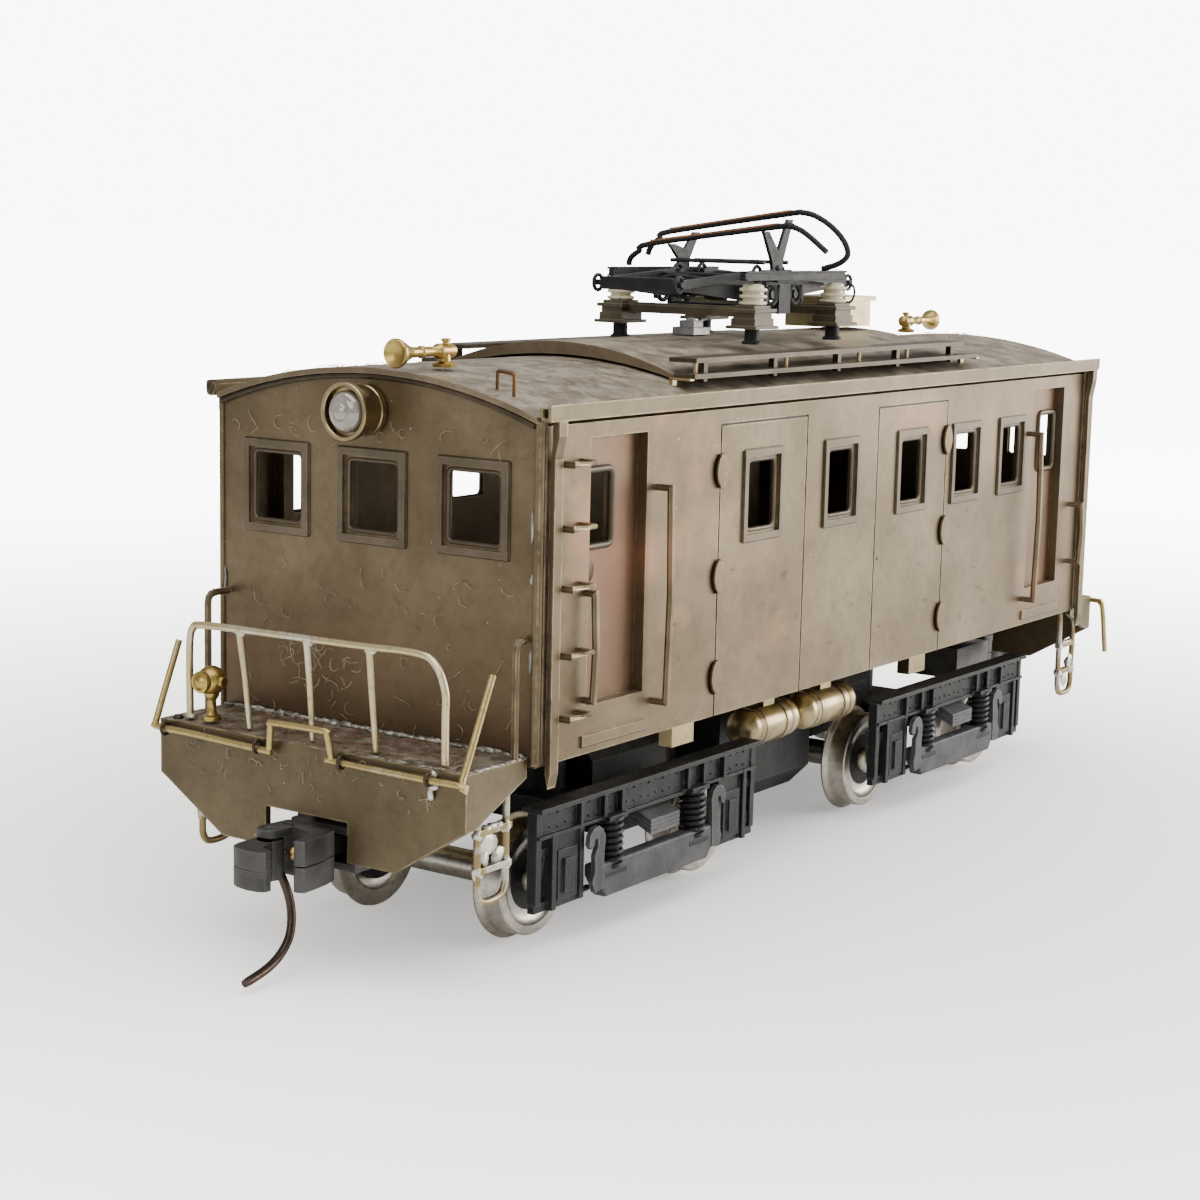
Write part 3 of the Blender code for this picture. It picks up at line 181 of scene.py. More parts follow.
class Finish:
    """One procedural material, built a node at a time. Coordinates are the piece's own, in metres."""

    def __init__(self, name, roughness=0.5, metallic=0.0, **fixed):
        self.material = bpy.data.materials.new(name)
        self.material.use_nodes = True
        self.tree = self.material.node_tree
        self.shader = self.tree.nodes["Principled BSDF"]
        set_sockets(self.shader, Roughness=roughness, Metallic=metallic, **fixed)
        self.where = self.node("ShaderNodeTexCoord").outputs["Object"]
        self.surface = self.node("ShaderNodeNewGeometry").outputs["Normal"]

    def node(self, kind, **settings):
        made = self.tree.nodes.new(kind)
        for key, value in settings.items():
            setattr(made, key, value)
        return made

    def feed(self, value, socket):
        """Give a socket a colour, a number or another socket's output."""
        if isinstance(value, tuple):
            socket.default_value = (*value, 1.0)
        elif isinstance(value, (int, float)):
            socket.default_value = value
        else:
            self.tree.links.new(value, socket)

    def maths(self, operation, a, b=0.0):
        made = self.node("ShaderNodeMath", operation=operation)
        self.feed(a, made.inputs[0])
        self.feed(b, made.inputs[1])
        return made.outputs["Value"]

    def times(self, a, b):
        return self.maths("MULTIPLY", a, b)

    def part(self, vector, axis):
        split = self.node("ShaderNodeSeparateXYZ")
        self.feed(vector, split.inputs["Vector"])
        return split.outputs[axis]

    def between(self, value, low, high):
        """0 at low and 1 at high, clamped. low may be the larger."""
        made = self.node("ShaderNodeMapRange")
        set_sockets(made, From_Min=low, From_Max=high)
        self.feed(value, made.inputs["Value"])
        return made.outputs["Result"]

    def blend(self, amount, low, high):
        """A number that goes from low to high with amount."""
        made = self.node("ShaderNodeMapRange")
        set_sockets(made, To_Min=low, To_Max=high)
        self.feed(amount, made.inputs["Value"])
        return made.outputs["Result"]

    def noise(self, scale, detail=4.0, rough=0.6, stretch=None):
        """Soft noise from 0 to 1 with about scale lumps in a metre."""
        made = self.node("ShaderNodeTexNoise")
        set_sockets(made, Scale=scale, Detail=detail, Roughness=rough)
        where = self.where
        if stretch:
            mapping = self.node("ShaderNodeMapping")
            set_sockets(mapping, Scale=stretch)
            self.feed(where, mapping.inputs["Vector"])
            where = mapping.outputs["Vector"]
        self.feed(where, made.inputs["Vector"])
        return made.outputs["Fac"]

    def patches(self, scale, low, high, amount=1.0, **noise):
        """Noise made crisp between low and high, then weakened to amount."""
        mask = self.between(self.noise(scale, **noise), low, high)
        return mask if amount == 1.0 else self.times(mask, amount)

    def specks(self, scale, radius):
        """1 in small dots scattered scale to a metre, 0 elsewhere."""
        made = self.node("ShaderNodeTexVoronoi")
        set_sockets(made, Scale=scale)
        self.feed(self.where, made.inputs["Vector"])
        return self.between(made.outputs["Distance"], radius, radius * 0.6)

    def edges(self, radius_mm, sharp=0.10):
        """1 along sharp edges, fading to 0 about radius_mm away from them."""
        bevel = self.node("ShaderNodeBevel", samples=4)
        set_sockets(bevel, Radius=radius_mm * MM)
        dot = self.node("ShaderNodeVectorMath", operation="DOT_PRODUCT")
        self.feed(bevel.outputs["Normal"], dot.inputs[0])
        self.feed(self.surface, dot.inputs[1])
        return self.between(dot.outputs["Value"], 1.0 - sharp * 0.1, 1.0 - sharp)

    def facing(self, axis, low, high):
        """0 to 1 as the surface turns to face that world axis."""
        return self.between(self.part(self.surface, axis), low, high)

    def mix(self, amount, under, over):
        """Colour under, covered by over where amount is 1."""
        made = self.node("ShaderNodeMix", data_type="RGBA")
        colours = [socket for socket in made.inputs if socket.type == "RGBA"]
        for value, socket in zip((amount, under, over), (made.inputs[0], *colours)):
            self.feed(value, socket)
        return next(socket for socket in made.outputs if socket.type == "RGBA")

    def stain(self, under, over, *patches, **noise):
        """Colour under, covered by over in patches."""
        return self.mix(self.patches(*patches, **noise), under, over)

    def finish(self, colour, roughness, relief, depth_mm):
        """Join the colour, the roughness unless it is None, and a bump of depth_mm."""
        self.feed(colour, self.shader.inputs["Base Color"])
        if roughness is not None:
            self.feed(roughness, self.shader.inputs["Roughness"])
        bump = self.node("ShaderNodeBump")
        set_sockets(bump, Distance=depth_mm * MM, Strength=1.0)
        self.feed(relief, bump.inputs["Height"])
        self.feed(bump.outputs["Normal"], self.shader.inputs["Normal"])
        return self.material


def door_recess_mask(f):
    """1 on the floor of each door recess, which sits a millimetre behind the long walls."""
    across = f.maths("ABSOLUTE", f.part(f.where, "Y"))
    along = f.maths("ABSOLUTE", f.part(f.where, "X"))
    sunk = f.times(f.between(across, 16.5 * MM, 16.2 * MM), f.between(across, 15.7 * MM, 15.9 * MM))
    beside = f.times(f.between(along, 36.9 * MM, 37.6 * MM), f.between(along, 47.0 * MM, 46.2 * MM))
    return f.times(f.times(sunk, beside), f.patches(180, 0.25, 0.6))


def patina(name, dark, light, dust=0.0, blush=0.0, worn=0.5, recesses_and_end_shade=False):
    """Chemically darkened brass sheet: cloudy brown, coppery patches, bare worn edges, settled dust, and on
    the body painted shade low on the end faces.
    """
    f = Finish(name, metallic=0.72)
    colour = f.stain(dark, light, 75, 0.34, 0.68, detail=5, rough=0.62)
    colour = f.stain(colour, shade(dark, 0.6), 900, 0.45, 0.75, 0.35, detail=3, rough=0.7)
    if blush:
        coppery = (0.42, 0.20, 0.115)
        colour = f.stain(colour, coppery, 46, 0.60, 0.72, blush, detail=3, rough=0.5, stretch=(1.0, 1.0, 1.7))
    colour = f.stain(colour, shade(dark, 0.45), 130, 0.58, 0.74, 0.35, rough=0.7, stretch=(1.0, 1.0, 0.22))
    edge = f.times(f.edges(0.22), f.patches(500, 0.35, 0.62, detail=3))
    colour = f.mix(f.times(edge, worn), colour, (0.52, 0.42, 0.26))
    flecks = f.times(f.specks(700, 0.06), f.patches(60, 0.45, 0.6, detail=2))
    colour = f.mix(f.times(flecks, 0.7), colour, (0.52, 0.46, 0.36))
    if recesses_and_end_shade:
        colour = f.mix(f.times(door_recess_mask(f), 0.75), colour, (0.130, 0.066, 0.040))
        # Painted shade: below the windows, faces that look along X (the two ends) turn a darker red-brown in
        # patches.
        low = f.between(f.part(f.where, "Z"), 32 * MM, 19 * MM)
        low = f.times(low, f.patches(150, 0.35, 0.62, detail=5, rough=0.65))
        for ahead in (-0.9, 0.9):
            end_face_shade = f.times(f.times(low, f.facing("X", 0.0, ahead)), 0.55)
            colour = f.mix(end_face_shade, colour, (0.105, 0.052, 0.030))
    rough = f.blend(f.noise(240), 0.34, 0.52)
    if dust:
        film = f.times(f.facing("Z", 0.55, 0.97), f.patches(420, 0.38, 0.66, detail=6, rough=0.75))
        film = f.times(film, dust)
        colour = f.mix(film, colour, (0.40, 0.36, 0.30))
        rough = f.maths("ADD", rough, f.times(film, 0.35))
    return f.finish(colour, rough, f.noise(5200, 2), 0.006)


def bare_brass(name, base, dull):
    """Turned or cast brass, browned in patches, with its edges rubbed bright."""
    f = Finish(name, metallic=1.0)
    colour = f.stain(base, dull, 160, 0.36, 0.70, rough=0.65)
    colour = f.stain(colour, shade(dull, 0.45), 1400, 0.55, 0.75, 0.5, detail=3)
    colour = f.mix(f.times(f.edges(0.15), 0.5), colour, shade(base, 1.25))
    return f.finish(colour, f.blend(f.noise(700), 0.22, 0.42), f.noise(6000, 2), 0.006)


def tinned_wire(name, wire, solder_grey, amount):
    """Brass wire with dull solder left on it in places."""
    f = Finish(name, metallic=0.95)
    colour = f.stain(wire, solder_grey, 260, 0.62 - 0.3 * amount, 0.70 - 0.25 * amount)
    colour = f.stain(colour, shade(wire, 0.3), 1800, 0.55, 0.72, 0.55, detail=3, rough=0.7)
    return f.finish(colour, f.blend(f.noise(900), 0.25, 0.5), f.noise(3800, 3), 0.02)


def black_paint(name, base=(0.0075, 0.0085, 0.0095), worn=(0.10, 0.11, 0.115), wear=0.6):
    """Thin satin black over a casting, rubbed grey along edges and dusty on top."""
    f = Finish(name, Specular_IOR_Level=0.2)
    colour = f.stain(base, shade(base, 2.0), 380, 0.40, 0.70, rough=0.65)
    edge = f.times(f.edges(0.20, 0.14), f.patches(700, 0.30, 0.58, detail=3))
    colour = f.mix(f.times(edge, wear), colour, worn)
    colour = f.mix(f.times(f.specks(900, 0.07), 0.4), colour, (0.22, 0.22, 0.21))
    film = f.times(f.facing("Z", 0.4, 0.95), f.patches(800, 0.45, 0.7, detail=5, rough=0.7))
    colour = f.mix(f.times(film, 0.25), colour, (0.10, 0.095, 0.085))
    return f.finish(colour, f.blend(f.noise(900), 0.34, 0.62), f.noise(4200, 4, 0.7), 0.030)


def turned_steel(name):
    """Nickel silver from the lathe, tarnished in clouds and spots."""
    f = Finish(name, metallic=1.0)
    colour = f.stain((0.52, 0.50, 0.45), (0.30, 0.28, 0.25), 220, 0.35, 0.7)
    colour = f.stain(colour, (0.12, 0.11, 0.10), 1600, 0.5, 0.72, 0.5, detail=3, rough=0.7)
    return f.finish(colour, f.blend(f.noise(900), 0.20, 0.42), f.noise(3000, 3), 0.008)


def oxidised(name):
    """A dark grey oxidised casting with a brown cast."""
    f = Finish(name, metallic=0.45)
    colour = f.stain((0.036, 0.036, 0.038), (0.070, 0.068, 0.066), 420, 0.36, 0.68, detail=5, rough=0.65)
    colour = f.stain(colour, (0.085, 0.055, 0.038), 260, 0.60, 0.75, 0.55, detail=3)
    colour = f.mix(f.times(f.edges(0.18), 0.4), colour, (0.16, 0.16, 0.16))
    return f.finish(colour, f.blend(f.noise(900), 0.38, 0.6), f.noise(3600, 4, 0.7), 0.02)


def lamp_glass(name):
    """A small pressed lens over a grey reflector, with specks of dust."""
    f = Finish(name, 0.12, 0.35, Coat_Weight=0.8, Coat_Roughness=0.06)
    colour = f.stain((0.20, 0.19, 0.175), (0.34, 0.32, 0.29), 700, 0.35, 0.7)
    colour = f.mix(f.times(f.specks(2200, 0.12), 0.5), colour, (0.6, 0.58, 0.52))
    return f.finish(colour, None, f.noise(2500, 2), 0.01)


def cream_moulding(name):
    """A cream moulded insulator with grime."""
    f = Finish(name, 0.32, Coat_Weight=0.3, Coat_Roughness=0.2)
    colour = f.stain((0.66, 0.62, 0.46), (0.50, 0.46, 0.32), 600, 0.35, 0.7)
    colour = f.stain(colour, (0.13, 0.11, 0.075), 1500, 0.54, 0.70, 0.55, rough=0.7)
    return f.finish(colour, None, f.noise(3000, 3), 0.02)


def olive_casting(name):
    """Brown-olive moulded feet with rubbed corners."""
    f = Finish(name, metallic=0.25)
    colour = f.stain((0.042, 0.034, 0.019), (0.085, 0.068, 0.040), 260, 0.36, 0.7)
    colour = f.mix(f.times(f.edges(0.16), 0.6), colour, (0.20, 0.17, 0.105))
    colour = f.stain(colour, (0.03, 0.025, 0.02), 1500, 0.56, 0.72, 0.6, rough=0.7)
    return f.finish(colour, f.blend(f.noise(900), 0.35, 0.6), f.noise(3600, 4, 0.7), 0.02)


def rubbed_copper(name):
    """The wearing face of the collector strips: brown copper with black scuffs."""
    f = Finish(name, metallic=0.85)
    colour = f.stain((0.33, 0.17, 0.10), (0.20, 0.105, 0.065), 300, 0.36, 0.7)
    colour = f.stain(colour, (0.035, 0.032, 0.03), 1500, 0.52, 0.68, 0.8, rough=0.7)
    return f.finish(colour, f.blend(f.noise(900), 0.3, 0.55), f.noise(3000, 3), 0.015)


def solder(name, bright=(0.66, 0.65, 0.60), dull=(0.44, 0.42, 0.36)):
    """Dull white solder with spots of flux grime."""
    f = Finish(name, metallic=0.8)
    colour = f.stain(bright, dull, 500, 0.38, 0.68)
    colour = f.stain(colour, (0.11, 0.09, 0.06), 2200, 0.55, 0.72, 0.6, detail=3, rough=0.7)
    return f.finish(colour, f.blend(f.noise(1200), 0.28, 0.55), f.noise(2600, 4, 0.65), 0.04)


def lint_fibre(name, pale=(0.30, 0.25, 0.18), dark=(0.16, 0.13, 0.09)):
    """Household lint."""
    f = Finish(name, 0.9)
    return f.finish(f.stain(pale, dark, 900, 0.4, 0.6, detail=3), None, f.noise(5000, 2), 0.005)


def make_materials():
    """Each look is a material and the CAD material slot that it stands for."""
    looks = {
        "dullsolder": (solder("dull_solder", (0.34, 0.33, 0.30), (0.14, 0.13, 0.11)), "soldered_wire"),
        "lead": (solder("lead_terminal", (0.34, 0.35, 0.36), (0.20, 0.20, 0.20)), "soldered_wire"),
        "solder": (solder("solder"), "soldered_wire"),
        "rust": (lint_fibre("brown_lint", (0.20, 0.095, 0.055), (0.10, 0.05, 0.032)), "soldered_wire"),
        "lint": (lint_fibre("lint"), "soldered_wire"),
        "wirebrass": (tinned_wire("brass_wire", (0.42, 0.33, 0.14), (0.44, 0.39, 0.24), 0.2), "bright_brass"),
        "rail": (tinned_wire("cream_wire", (0.56, 0.48, 0.28), (0.62, 0.58, 0.46), 0.40), "soldered_wire"),
        "step": (tinned_wire("step_wire", (0.24, 0.18, 0.085), (0.40, 0.39, 0.34), 0.45), "soldered_wire"),
        "black": (black_paint("black_casting"), "black_casting"),
        "spring": (black_paint("spring_wire", (0.006, 0.007, 0.009), (0.06, 0.065, 0.075), 0.4),
                   "black_casting"),
        "worn": (black_paint("worn_casting", (0.035, 0.037, 0.040), (0.20, 0.205, 0.21), 0.8),
                 "black_casting"),
        "olive": (olive_casting("olive_casting"), "insulator_cream"),
        "copper": (rubbed_copper("rubbed_copper"), "black_casting"),
        "steel": (turned_steel("nickel_silver"), "nickel_silver"),
        "coupler": (oxidised("coupler_metal"), "coupler_metal"),
        "lens": (lamp_glass("lens"), "lens"),
        "cream": (cream_moulding("insulator_cream"), "insulator_cream"),
    }
    for look, dark, light, wear in (
            # The body's sheet also carries painted shade: a darker red-brown low on its end faces.
            ("body", (0.098, 0.072, 0.038), (0.176, 0.135, 0.083),
             {"dust": 0.3, "blush": 0.4, "recesses_and_end_shade": True}),
            ("patina", (0.088, 0.067, 0.036), (0.150, 0.118, 0.070), {"dust": 0.35, "worn": 0.7}),
            ("roof", (0.115, 0.088, 0.056), (0.215, 0.175, 0.120), {"dust": 0.8, "worn": 0.3}),
            ("deck", (0.085, 0.066, 0.036), (0.145, 0.115, 0.068), {"dust": 0.7, "worn": 0.7}),
            ("walk", (0.040, 0.031, 0.020), (0.085, 0.068, 0.047), {"dust": 0.15, "worn": 0.12}),
            ("lip", (0.035, 0.026, 0.016), (0.070, 0.052, 0.032), {"worn": 0.05}),
            ("band", (0.075, 0.060, 0.040), (0.135, 0.110, 0.078), {"worn": 0.12}),
            ("sash", (0.060, 0.047, 0.032), (0.110, 0.088, 0.062), {"worn": 0.08}),
            ("ink", (0.006, 0.005, 0.004), (0.014, 0.011, 0.009), {"worn": 0.0})):
        looks[look] = (patina(f"sheet_{look}", dark, light, **wear), "patina")
    for look, base, dull, slot in (
            ("brass", (0.42, 0.34, 0.19), (0.22, 0.175, 0.095), "bright_brass"),
            ("dimbrass", (0.46, 0.34, 0.11), (0.22, 0.155, 0.05), "bright_brass"),
            ("tank", (0.36, 0.30, 0.19), (0.17, 0.135, 0.08), "bright_brass"),
            ("staple", (0.17, 0.095, 0.045), (0.08, 0.045, 0.024), "soldered_wire"),
            ("pin", (0.075, 0.055, 0.045), (0.04, 0.03, 0.026), "coupler_metal")):
        looks[look] = (bare_brass(f"metal_{look}", base, dull), slot)
    return looks


def dress_frame(looks):
    """Materials for the CAD nodes that stay visible."""
    groups = {
        "body": ["body_shell"],
        "patina": ["gutter_near", "gutter_far"],
        "deck": ["platform_front", "platform_rear"],
        "roof": ["main_roof", "roof_hatch"],
        "walk": ["walkway_near", "walkway_far"],
        "brass": ["chassis_floor", "roof_box"],
        "black": ["motor_case", "bogie_bolster_front", "bogie_bolster_rear"],
        "steel": ["motor_armature", "worm_shaft_front", "worm_shaft_rear", "king_pin_front", "king_pin_rear"],
        "coupler": ["coupler_box_front", "coupler_box_rear"],
    }
    for look, names in groups.items():
        for name in names:
            for slot in NODES[name].material_slots:
                slot.material = looks[look][0]


# ---------------------------------------------------------------- mesh building

# For a round or a flat shape along an axis: the directions of its first and second coordinate, and the axis.
ROUND_AXES = {"x": (Y, Z, X), "y": (Z, X, Y), "z": (X, Y, Z)}
FLAT_AXES = {"x": (Y, Z, X), "y": (X, Z, Y), "z": (X, Y, Z)}


def mm_box(node):
    """Lowest and highest corner of a CAD node, in millimetres."""
    return [Vector([part / MM for part in corner]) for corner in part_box(node)]


def turns(count):
    """Angles that divide a full turn."""
    return [2 * math.pi * step / count for step in range(count)]


def circle(x, y, z, radius, count):
    """Points round an axis along Y."""
    return [(x + radius * math.cos(angle), y, z + radius * math.sin(angle)) for angle in turns(count)]


def moved(points, *offset):
    """The points, each shifted by the offset."""
    return [tuple(part + shift for part, shift in zip(point, offset)) for point in points]


def bowed(points, steps=6):
    """A smooth curve through the points."""
    knots = [Vector(point) for point in points]
    ends = [2 * knots[0] - knots[1]] + knots + [2 * knots[-1] - knots[-2]]
    curve = []
    for a, b, c, d in zip(ends, ends[1:], ends[2:], ends[3:]):
        for step in range(steps):
            t = step / steps
            curve.append(0.5 * (2 * b + (c - a) * t + (2 * a - 5 * b + 4 * c - d) * t * t
                                + (3 * b - a - 3 * c + d) * t ** 3))
    return curve + [knots[-1]]


class Build:
    """Collects closed solids, in millimetres, into one piece. What is built for the rear end is drawn at the
    front, and done() turns it by half a turn."""

    def __init__(self, end="front"):
        self.mesh = bmesh.new()
        self.end = end

    def box(self, x0, x1, y0, y1, z0, z1):
        made = bmesh.ops.create_cube(self.mesh, size=1.0)["verts"]
        bmesh.ops.scale(self.mesh, vec=(abs(x1 - x0), abs(y1 - y0), abs(z1 - z0)), verts=made)
        bmesh.ops.translate(self.mesh, vec=((x0 + x1) / 2, (y0 + y1) / 2, (z0 + z1) / 2), verts=made)

    def prism(self, outline, side_a, side_b, axis):
        """Extrude an outline along an axis, between two places on it."""
        across, beside, along = FLAT_AXES[axis]
        rings = []
        for place in sorted((side_a, side_b)):
            rings.append([self.mesh.verts.new(across * a + beside * b + along * place) for a, b in outline])
        count = len(outline)
        faces = [self.mesh.faces.new(rings[0]), self.mesh.faces.new(list(reversed(rings[1])))]
        for i in range(count):
            j = (i + 1) % count
            faces.append(self.mesh.faces.new((rings[0][j], rings[0][i], rings[1][i], rings[1][j])))
        bmesh.ops.recalc_face_normals(self.mesh, faces=faces)

    def turned(self, profile, axis, centre, segments=32):
        """Revolve (radius, height) points; the first and the last lie on the axis."""
        across, beside, along = ROUND_AXES[axis]
        rings = []
        for radius, height in profile:
            middle = Vector(centre) + along * height
            if radius == 0.0:
                rings.append([self.mesh.verts.new(middle)])
                continue
            rings.append([self.mesh.verts.new(middle + (across * math.cos(a) + beside * math.sin(a)) * radius)
                          for a in turns(segments)])
        faces = []
        for lower, upper in zip(rings, rings[1:]):
            for i in range(segments):
                j = (i + 1) % segments
                corners = [lower[i % len(lower)], lower[j % len(lower)], upper[j % len(upper)],
                           upper[i % len(upper)]]
                faces.append(self.mesh.faces.new(list(dict.fromkeys(corners))))
        bmesh.ops.recalc_face_normals(self.mesh, faces=faces)
        return self

    def rod(self, low, high, radius, axis, centre, segments):
        """A plain round bar from low to high along its axis."""
        self.turned([(0, low), (radius, low), (radius, high), (0, high)], axis, centre, segments)

    def tube(self, path, radius, sides=8, closed=False):
        """Sweep a round section. radius may be a list, one for each point."""
        points = [Vector(point) for point in path]
        count = len(points)
        radii = radius if isinstance(radius, list) else [radius] * count
        normal = None
        rings = []
        for i, point in enumerate(points):
            before = points[i - 1] if i or closed else point
            after = points[(i + 1) % count] if i + 1 < count or closed else point
            tangent = (after - before).normalized()
            if normal is None:
                normal = tangent.cross(Z if abs(tangent.z) < 0.9 else X)
            normal = (normal - tangent * normal.dot(tangent)).normalized()
            side = tangent.cross(normal)
            rings.append([self.mesh.verts.new(point + (normal * math.cos(a) + side * math.sin(a)) * radii[i])
                          for a in turns(sides)])
        pairs = list(zip(rings, rings[1:])) + ([(rings[-1], rings[0])] if closed else [])
        faces = []
        for lower, upper in pairs:
            for i in range(sides):
                j = (i + 1) % sides
                faces.append(self.mesh.faces.new((lower[i], lower[j], upper[j], upper[i])))
        if not closed:
            faces += [self.mesh.faces.new(list(reversed(rings[0]))), self.mesh.faces.new(rings[-1])]
        bmesh.ops.recalc_face_normals(self.mesh, faces=faces)

    def blob(self, centre, radii, chance, rough=0.25, detail=2):
        """A lump of solder: a small ball pushed about at random."""
        made = bmesh.ops.create_icosphere(self.mesh, subdivisions=detail, radius=1.0)["verts"]
        for vert in made:
            grow = 1.0 + rough * (chance.random() - 0.5) * 2
            vert.co = Vector(centre) + Vector([vert.co[i] * radii[i] * grow for i in range(3)])

    def rivets(self, spots, radius, axis, out):
        """Half-round rivet heads on a face that looks along axis, out being 1 or -1."""
        for spot in spots:
            profile = [(0.0, -0.1 * out), (radius, -0.1 * out), (radius, 0.0),
                       (radius * 0.75, radius * 0.5 * out), (0.0, radius * 0.75 * out)]
            self.turned(profile, axis, spot, 8)

    def done(self, name, look, body="root", stands_for=None, bevel=0.0, smooth=30, shift_y=0.0):
        """Make the piece: place it, shade it, bevel it, and tell the frame what it rides on."""
        material, slot = look
        mesh = self.mesh
        if self.end == "rear":
            bmesh.ops.rotate(mesh, cent=(0, 0, 0), matrix=Matrix.Rotation(math.pi, 3, "Z"), verts=mesh.verts)
        bmesh.ops.translate(mesh, vec=(0, shift_y, 0), verts=mesh.verts)
        bmesh.ops.scale(mesh, vec=(MM, MM, MM), verts=mesh.verts)
        data = bpy.data.meshes.new(name)
        mesh.to_mesh(data)
        mesh.free()
        data.materials.append(material)
        data.shade_smooth()
        data.set_sharp_from_angle(angle=math.radians(smooth))
        piece = add_object(name, data)
        if bevel:
            round_edges(piece, bevel)
        if stands_for:
            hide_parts(stands_for)
        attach(piece, body)


def round_edges(piece, width_mm):
    modifier = piece.modifiers.new("edges", "BEVEL")
    modifier.width = width_mm * MM
    modifier.segments = 2
    modifier.limit_method = "ANGLE"
    modifier.angle_limit = math.radians(40)
    modifier.harden_normals = True


# ---------------------------------------------------------------- bogies

def spring_coil(build, x, y, low, high, radius, wire, coils):
    steps = coils * 12
    path = []
    for step in range(steps + 1):
        angle = 2 * math.pi * coils * step / steps
        path.append((x + radius * math.cos(angle), y + radius * math.sin(angle),
                     low + (high - low) * step / steps))
    build.tube(path, wire, 6)


def side_frame_casting(build, middle, face, side, top):
    """Beams, ribs, pedestals and rivets of a side frame. face is the y of its outermost plane."""

    def slab(dx0, dx1, in0, in1, z0, z1):
        build.box(middle + dx0, middle + dx1, face - side * in0, face - side * in1, z0, z1)

    slab(-17.5, 17.5, 0.4, 2.5, top - 0.42, top)
    slab(-17.3, 17.3, 1.15, 1.75, top - 2.7, top - 0.35)
    slab(-17.3, -4.4, 0.75, 1.5, top - 2.75, top - 2.45)
    slab(4.4, 17.3, 0.75, 1.5, top - 2.75, top - 2.45)
    slab(-5.2, 5.2, 0.85, 1.7, top - 2.95, top - 2.6)
    for sign in (-1, 1):
        for dx in (5.3, 7.9, 11.4):
            slab(sign * dx - 0.18, sign * dx + 0.18, 0.6, 1.3, top - 2.6, top - 0.4)
        for dx0, dx1, in0, in1, z0, z1 in (
                (11.0, 15.2, 1.1, 2.3, 3.9, top - 2.4), (11.7, 14.5, 0.85, 1.5, 4.5, 8.9),
                (12.4, 13.8, 0.6, 1.2, 5.1, 8.1), (10.7, 11.3, 0.85, 2.0, 4.0, top - 2.5),
                (14.9, 15.5, 0.7, 2.2, 3.9, top - 2.5), (16.7, 17.4, 1.0, 2.0, 4.6, top - 0.4),
                (14.9, 17.4, 1.2, 1.9, 3.9, 4.7), (15.3, 17.0, 1.25, 1.7, 8.6, 9.3)):
            slab(sign * dx0, sign * dx1, in0, in1, z0, z1)
        for dx0, z0, dx1, z1, inward, radius in ((15.7, 9.0, 16.8, 5.0, 1.5, 0.22),
                                                 (15.2, 4.1, 9.0, 4.4, 1.6, 0.28)):
            y = face - side * inward
            build.tube([(middle + sign * dx0, y, z0), (middle + sign * dx1, y, z1)], radius, 6)
        slab(sign * 5.2, sign * 8.0, 0.1, 2.3, 10.15, 10.6)
        slab(sign * 5.0, sign * 8.2, 0.2, 2.2, 5.2, 5.75)
    spots = []
    for step in range(30):
        dx = -16.6 + 33.2 * step / 29
        for z in (top - 0.85, top - 2.05):
            spots.append((middle + dx, face - side * 1.12, z + 0.12 * (step % 2)))
    build.rivets(spots, 0.15, "y", side)


# How far the stem of a swing link stands from the middle of its frame.
STEM = 8.75


def hook_link(build, middle, face, side, sign):
    """A flat swing link with a hooked top, leaning away from its spring."""
    outline = moved([(0.0, 4.5), (-0.1, 7.6), (-0.25, 9.0), (0.1, 9.75), (0.75, 10.15),
                     (1.5, 10.05), (2.05, 9.5), (2.2, 8.7), (1.85, 8.25),
                     (1.45, 8.5), (1.3, 9.05), (0.9, 9.1), (0.85, 8.4),
                     (1.3, 7.6), (1.25, 6.2), (1.6, 5.3), (1.2, 4.3)], STEM, 0.0)
    outline = [(middle + sign * dx, z) for dx, z in outline]
    build.prism(outline, face - side * 0.15, face - side * 0.65, "y")


LEAVES = 4


def leaf_pack(build, middle, face, side):
    """Four stacked leaves that slope down and out between the springs, studded with small lumps."""
    fall = math.tan(math.radians(24))
    for leaf in range(LEAVES):
        reach = 3.2 - 0.45 * leaf
        rise = 7.75 + 0.36 * leaf
        outer = (face - side * 0.02, rise)
        inner = (face - side * reach, rise + reach * fall)
        outline = [outer, inner, (inner[0], inner[1] + 0.29), (outer[0], outer[1] + 0.29)]
        build.prism(outline, middle + 0.6 - 2.3, middle + 0.6 + 2.3, "x")
        for row in range(3 if leaf < LEAVES - 1 else 0):
            inward = 0.35 + 0.5 * row
            for column in (1, 2, 3):
                build.blob((middle + 0.6 - 1.7 + 1.13 * column, face - side * inward,
                            rise + 0.24 + inward * fall),
                           (0.24, 0.17, 0.12), random.Random(leaf * 20 + row * 4 + column), 0.1, 1)


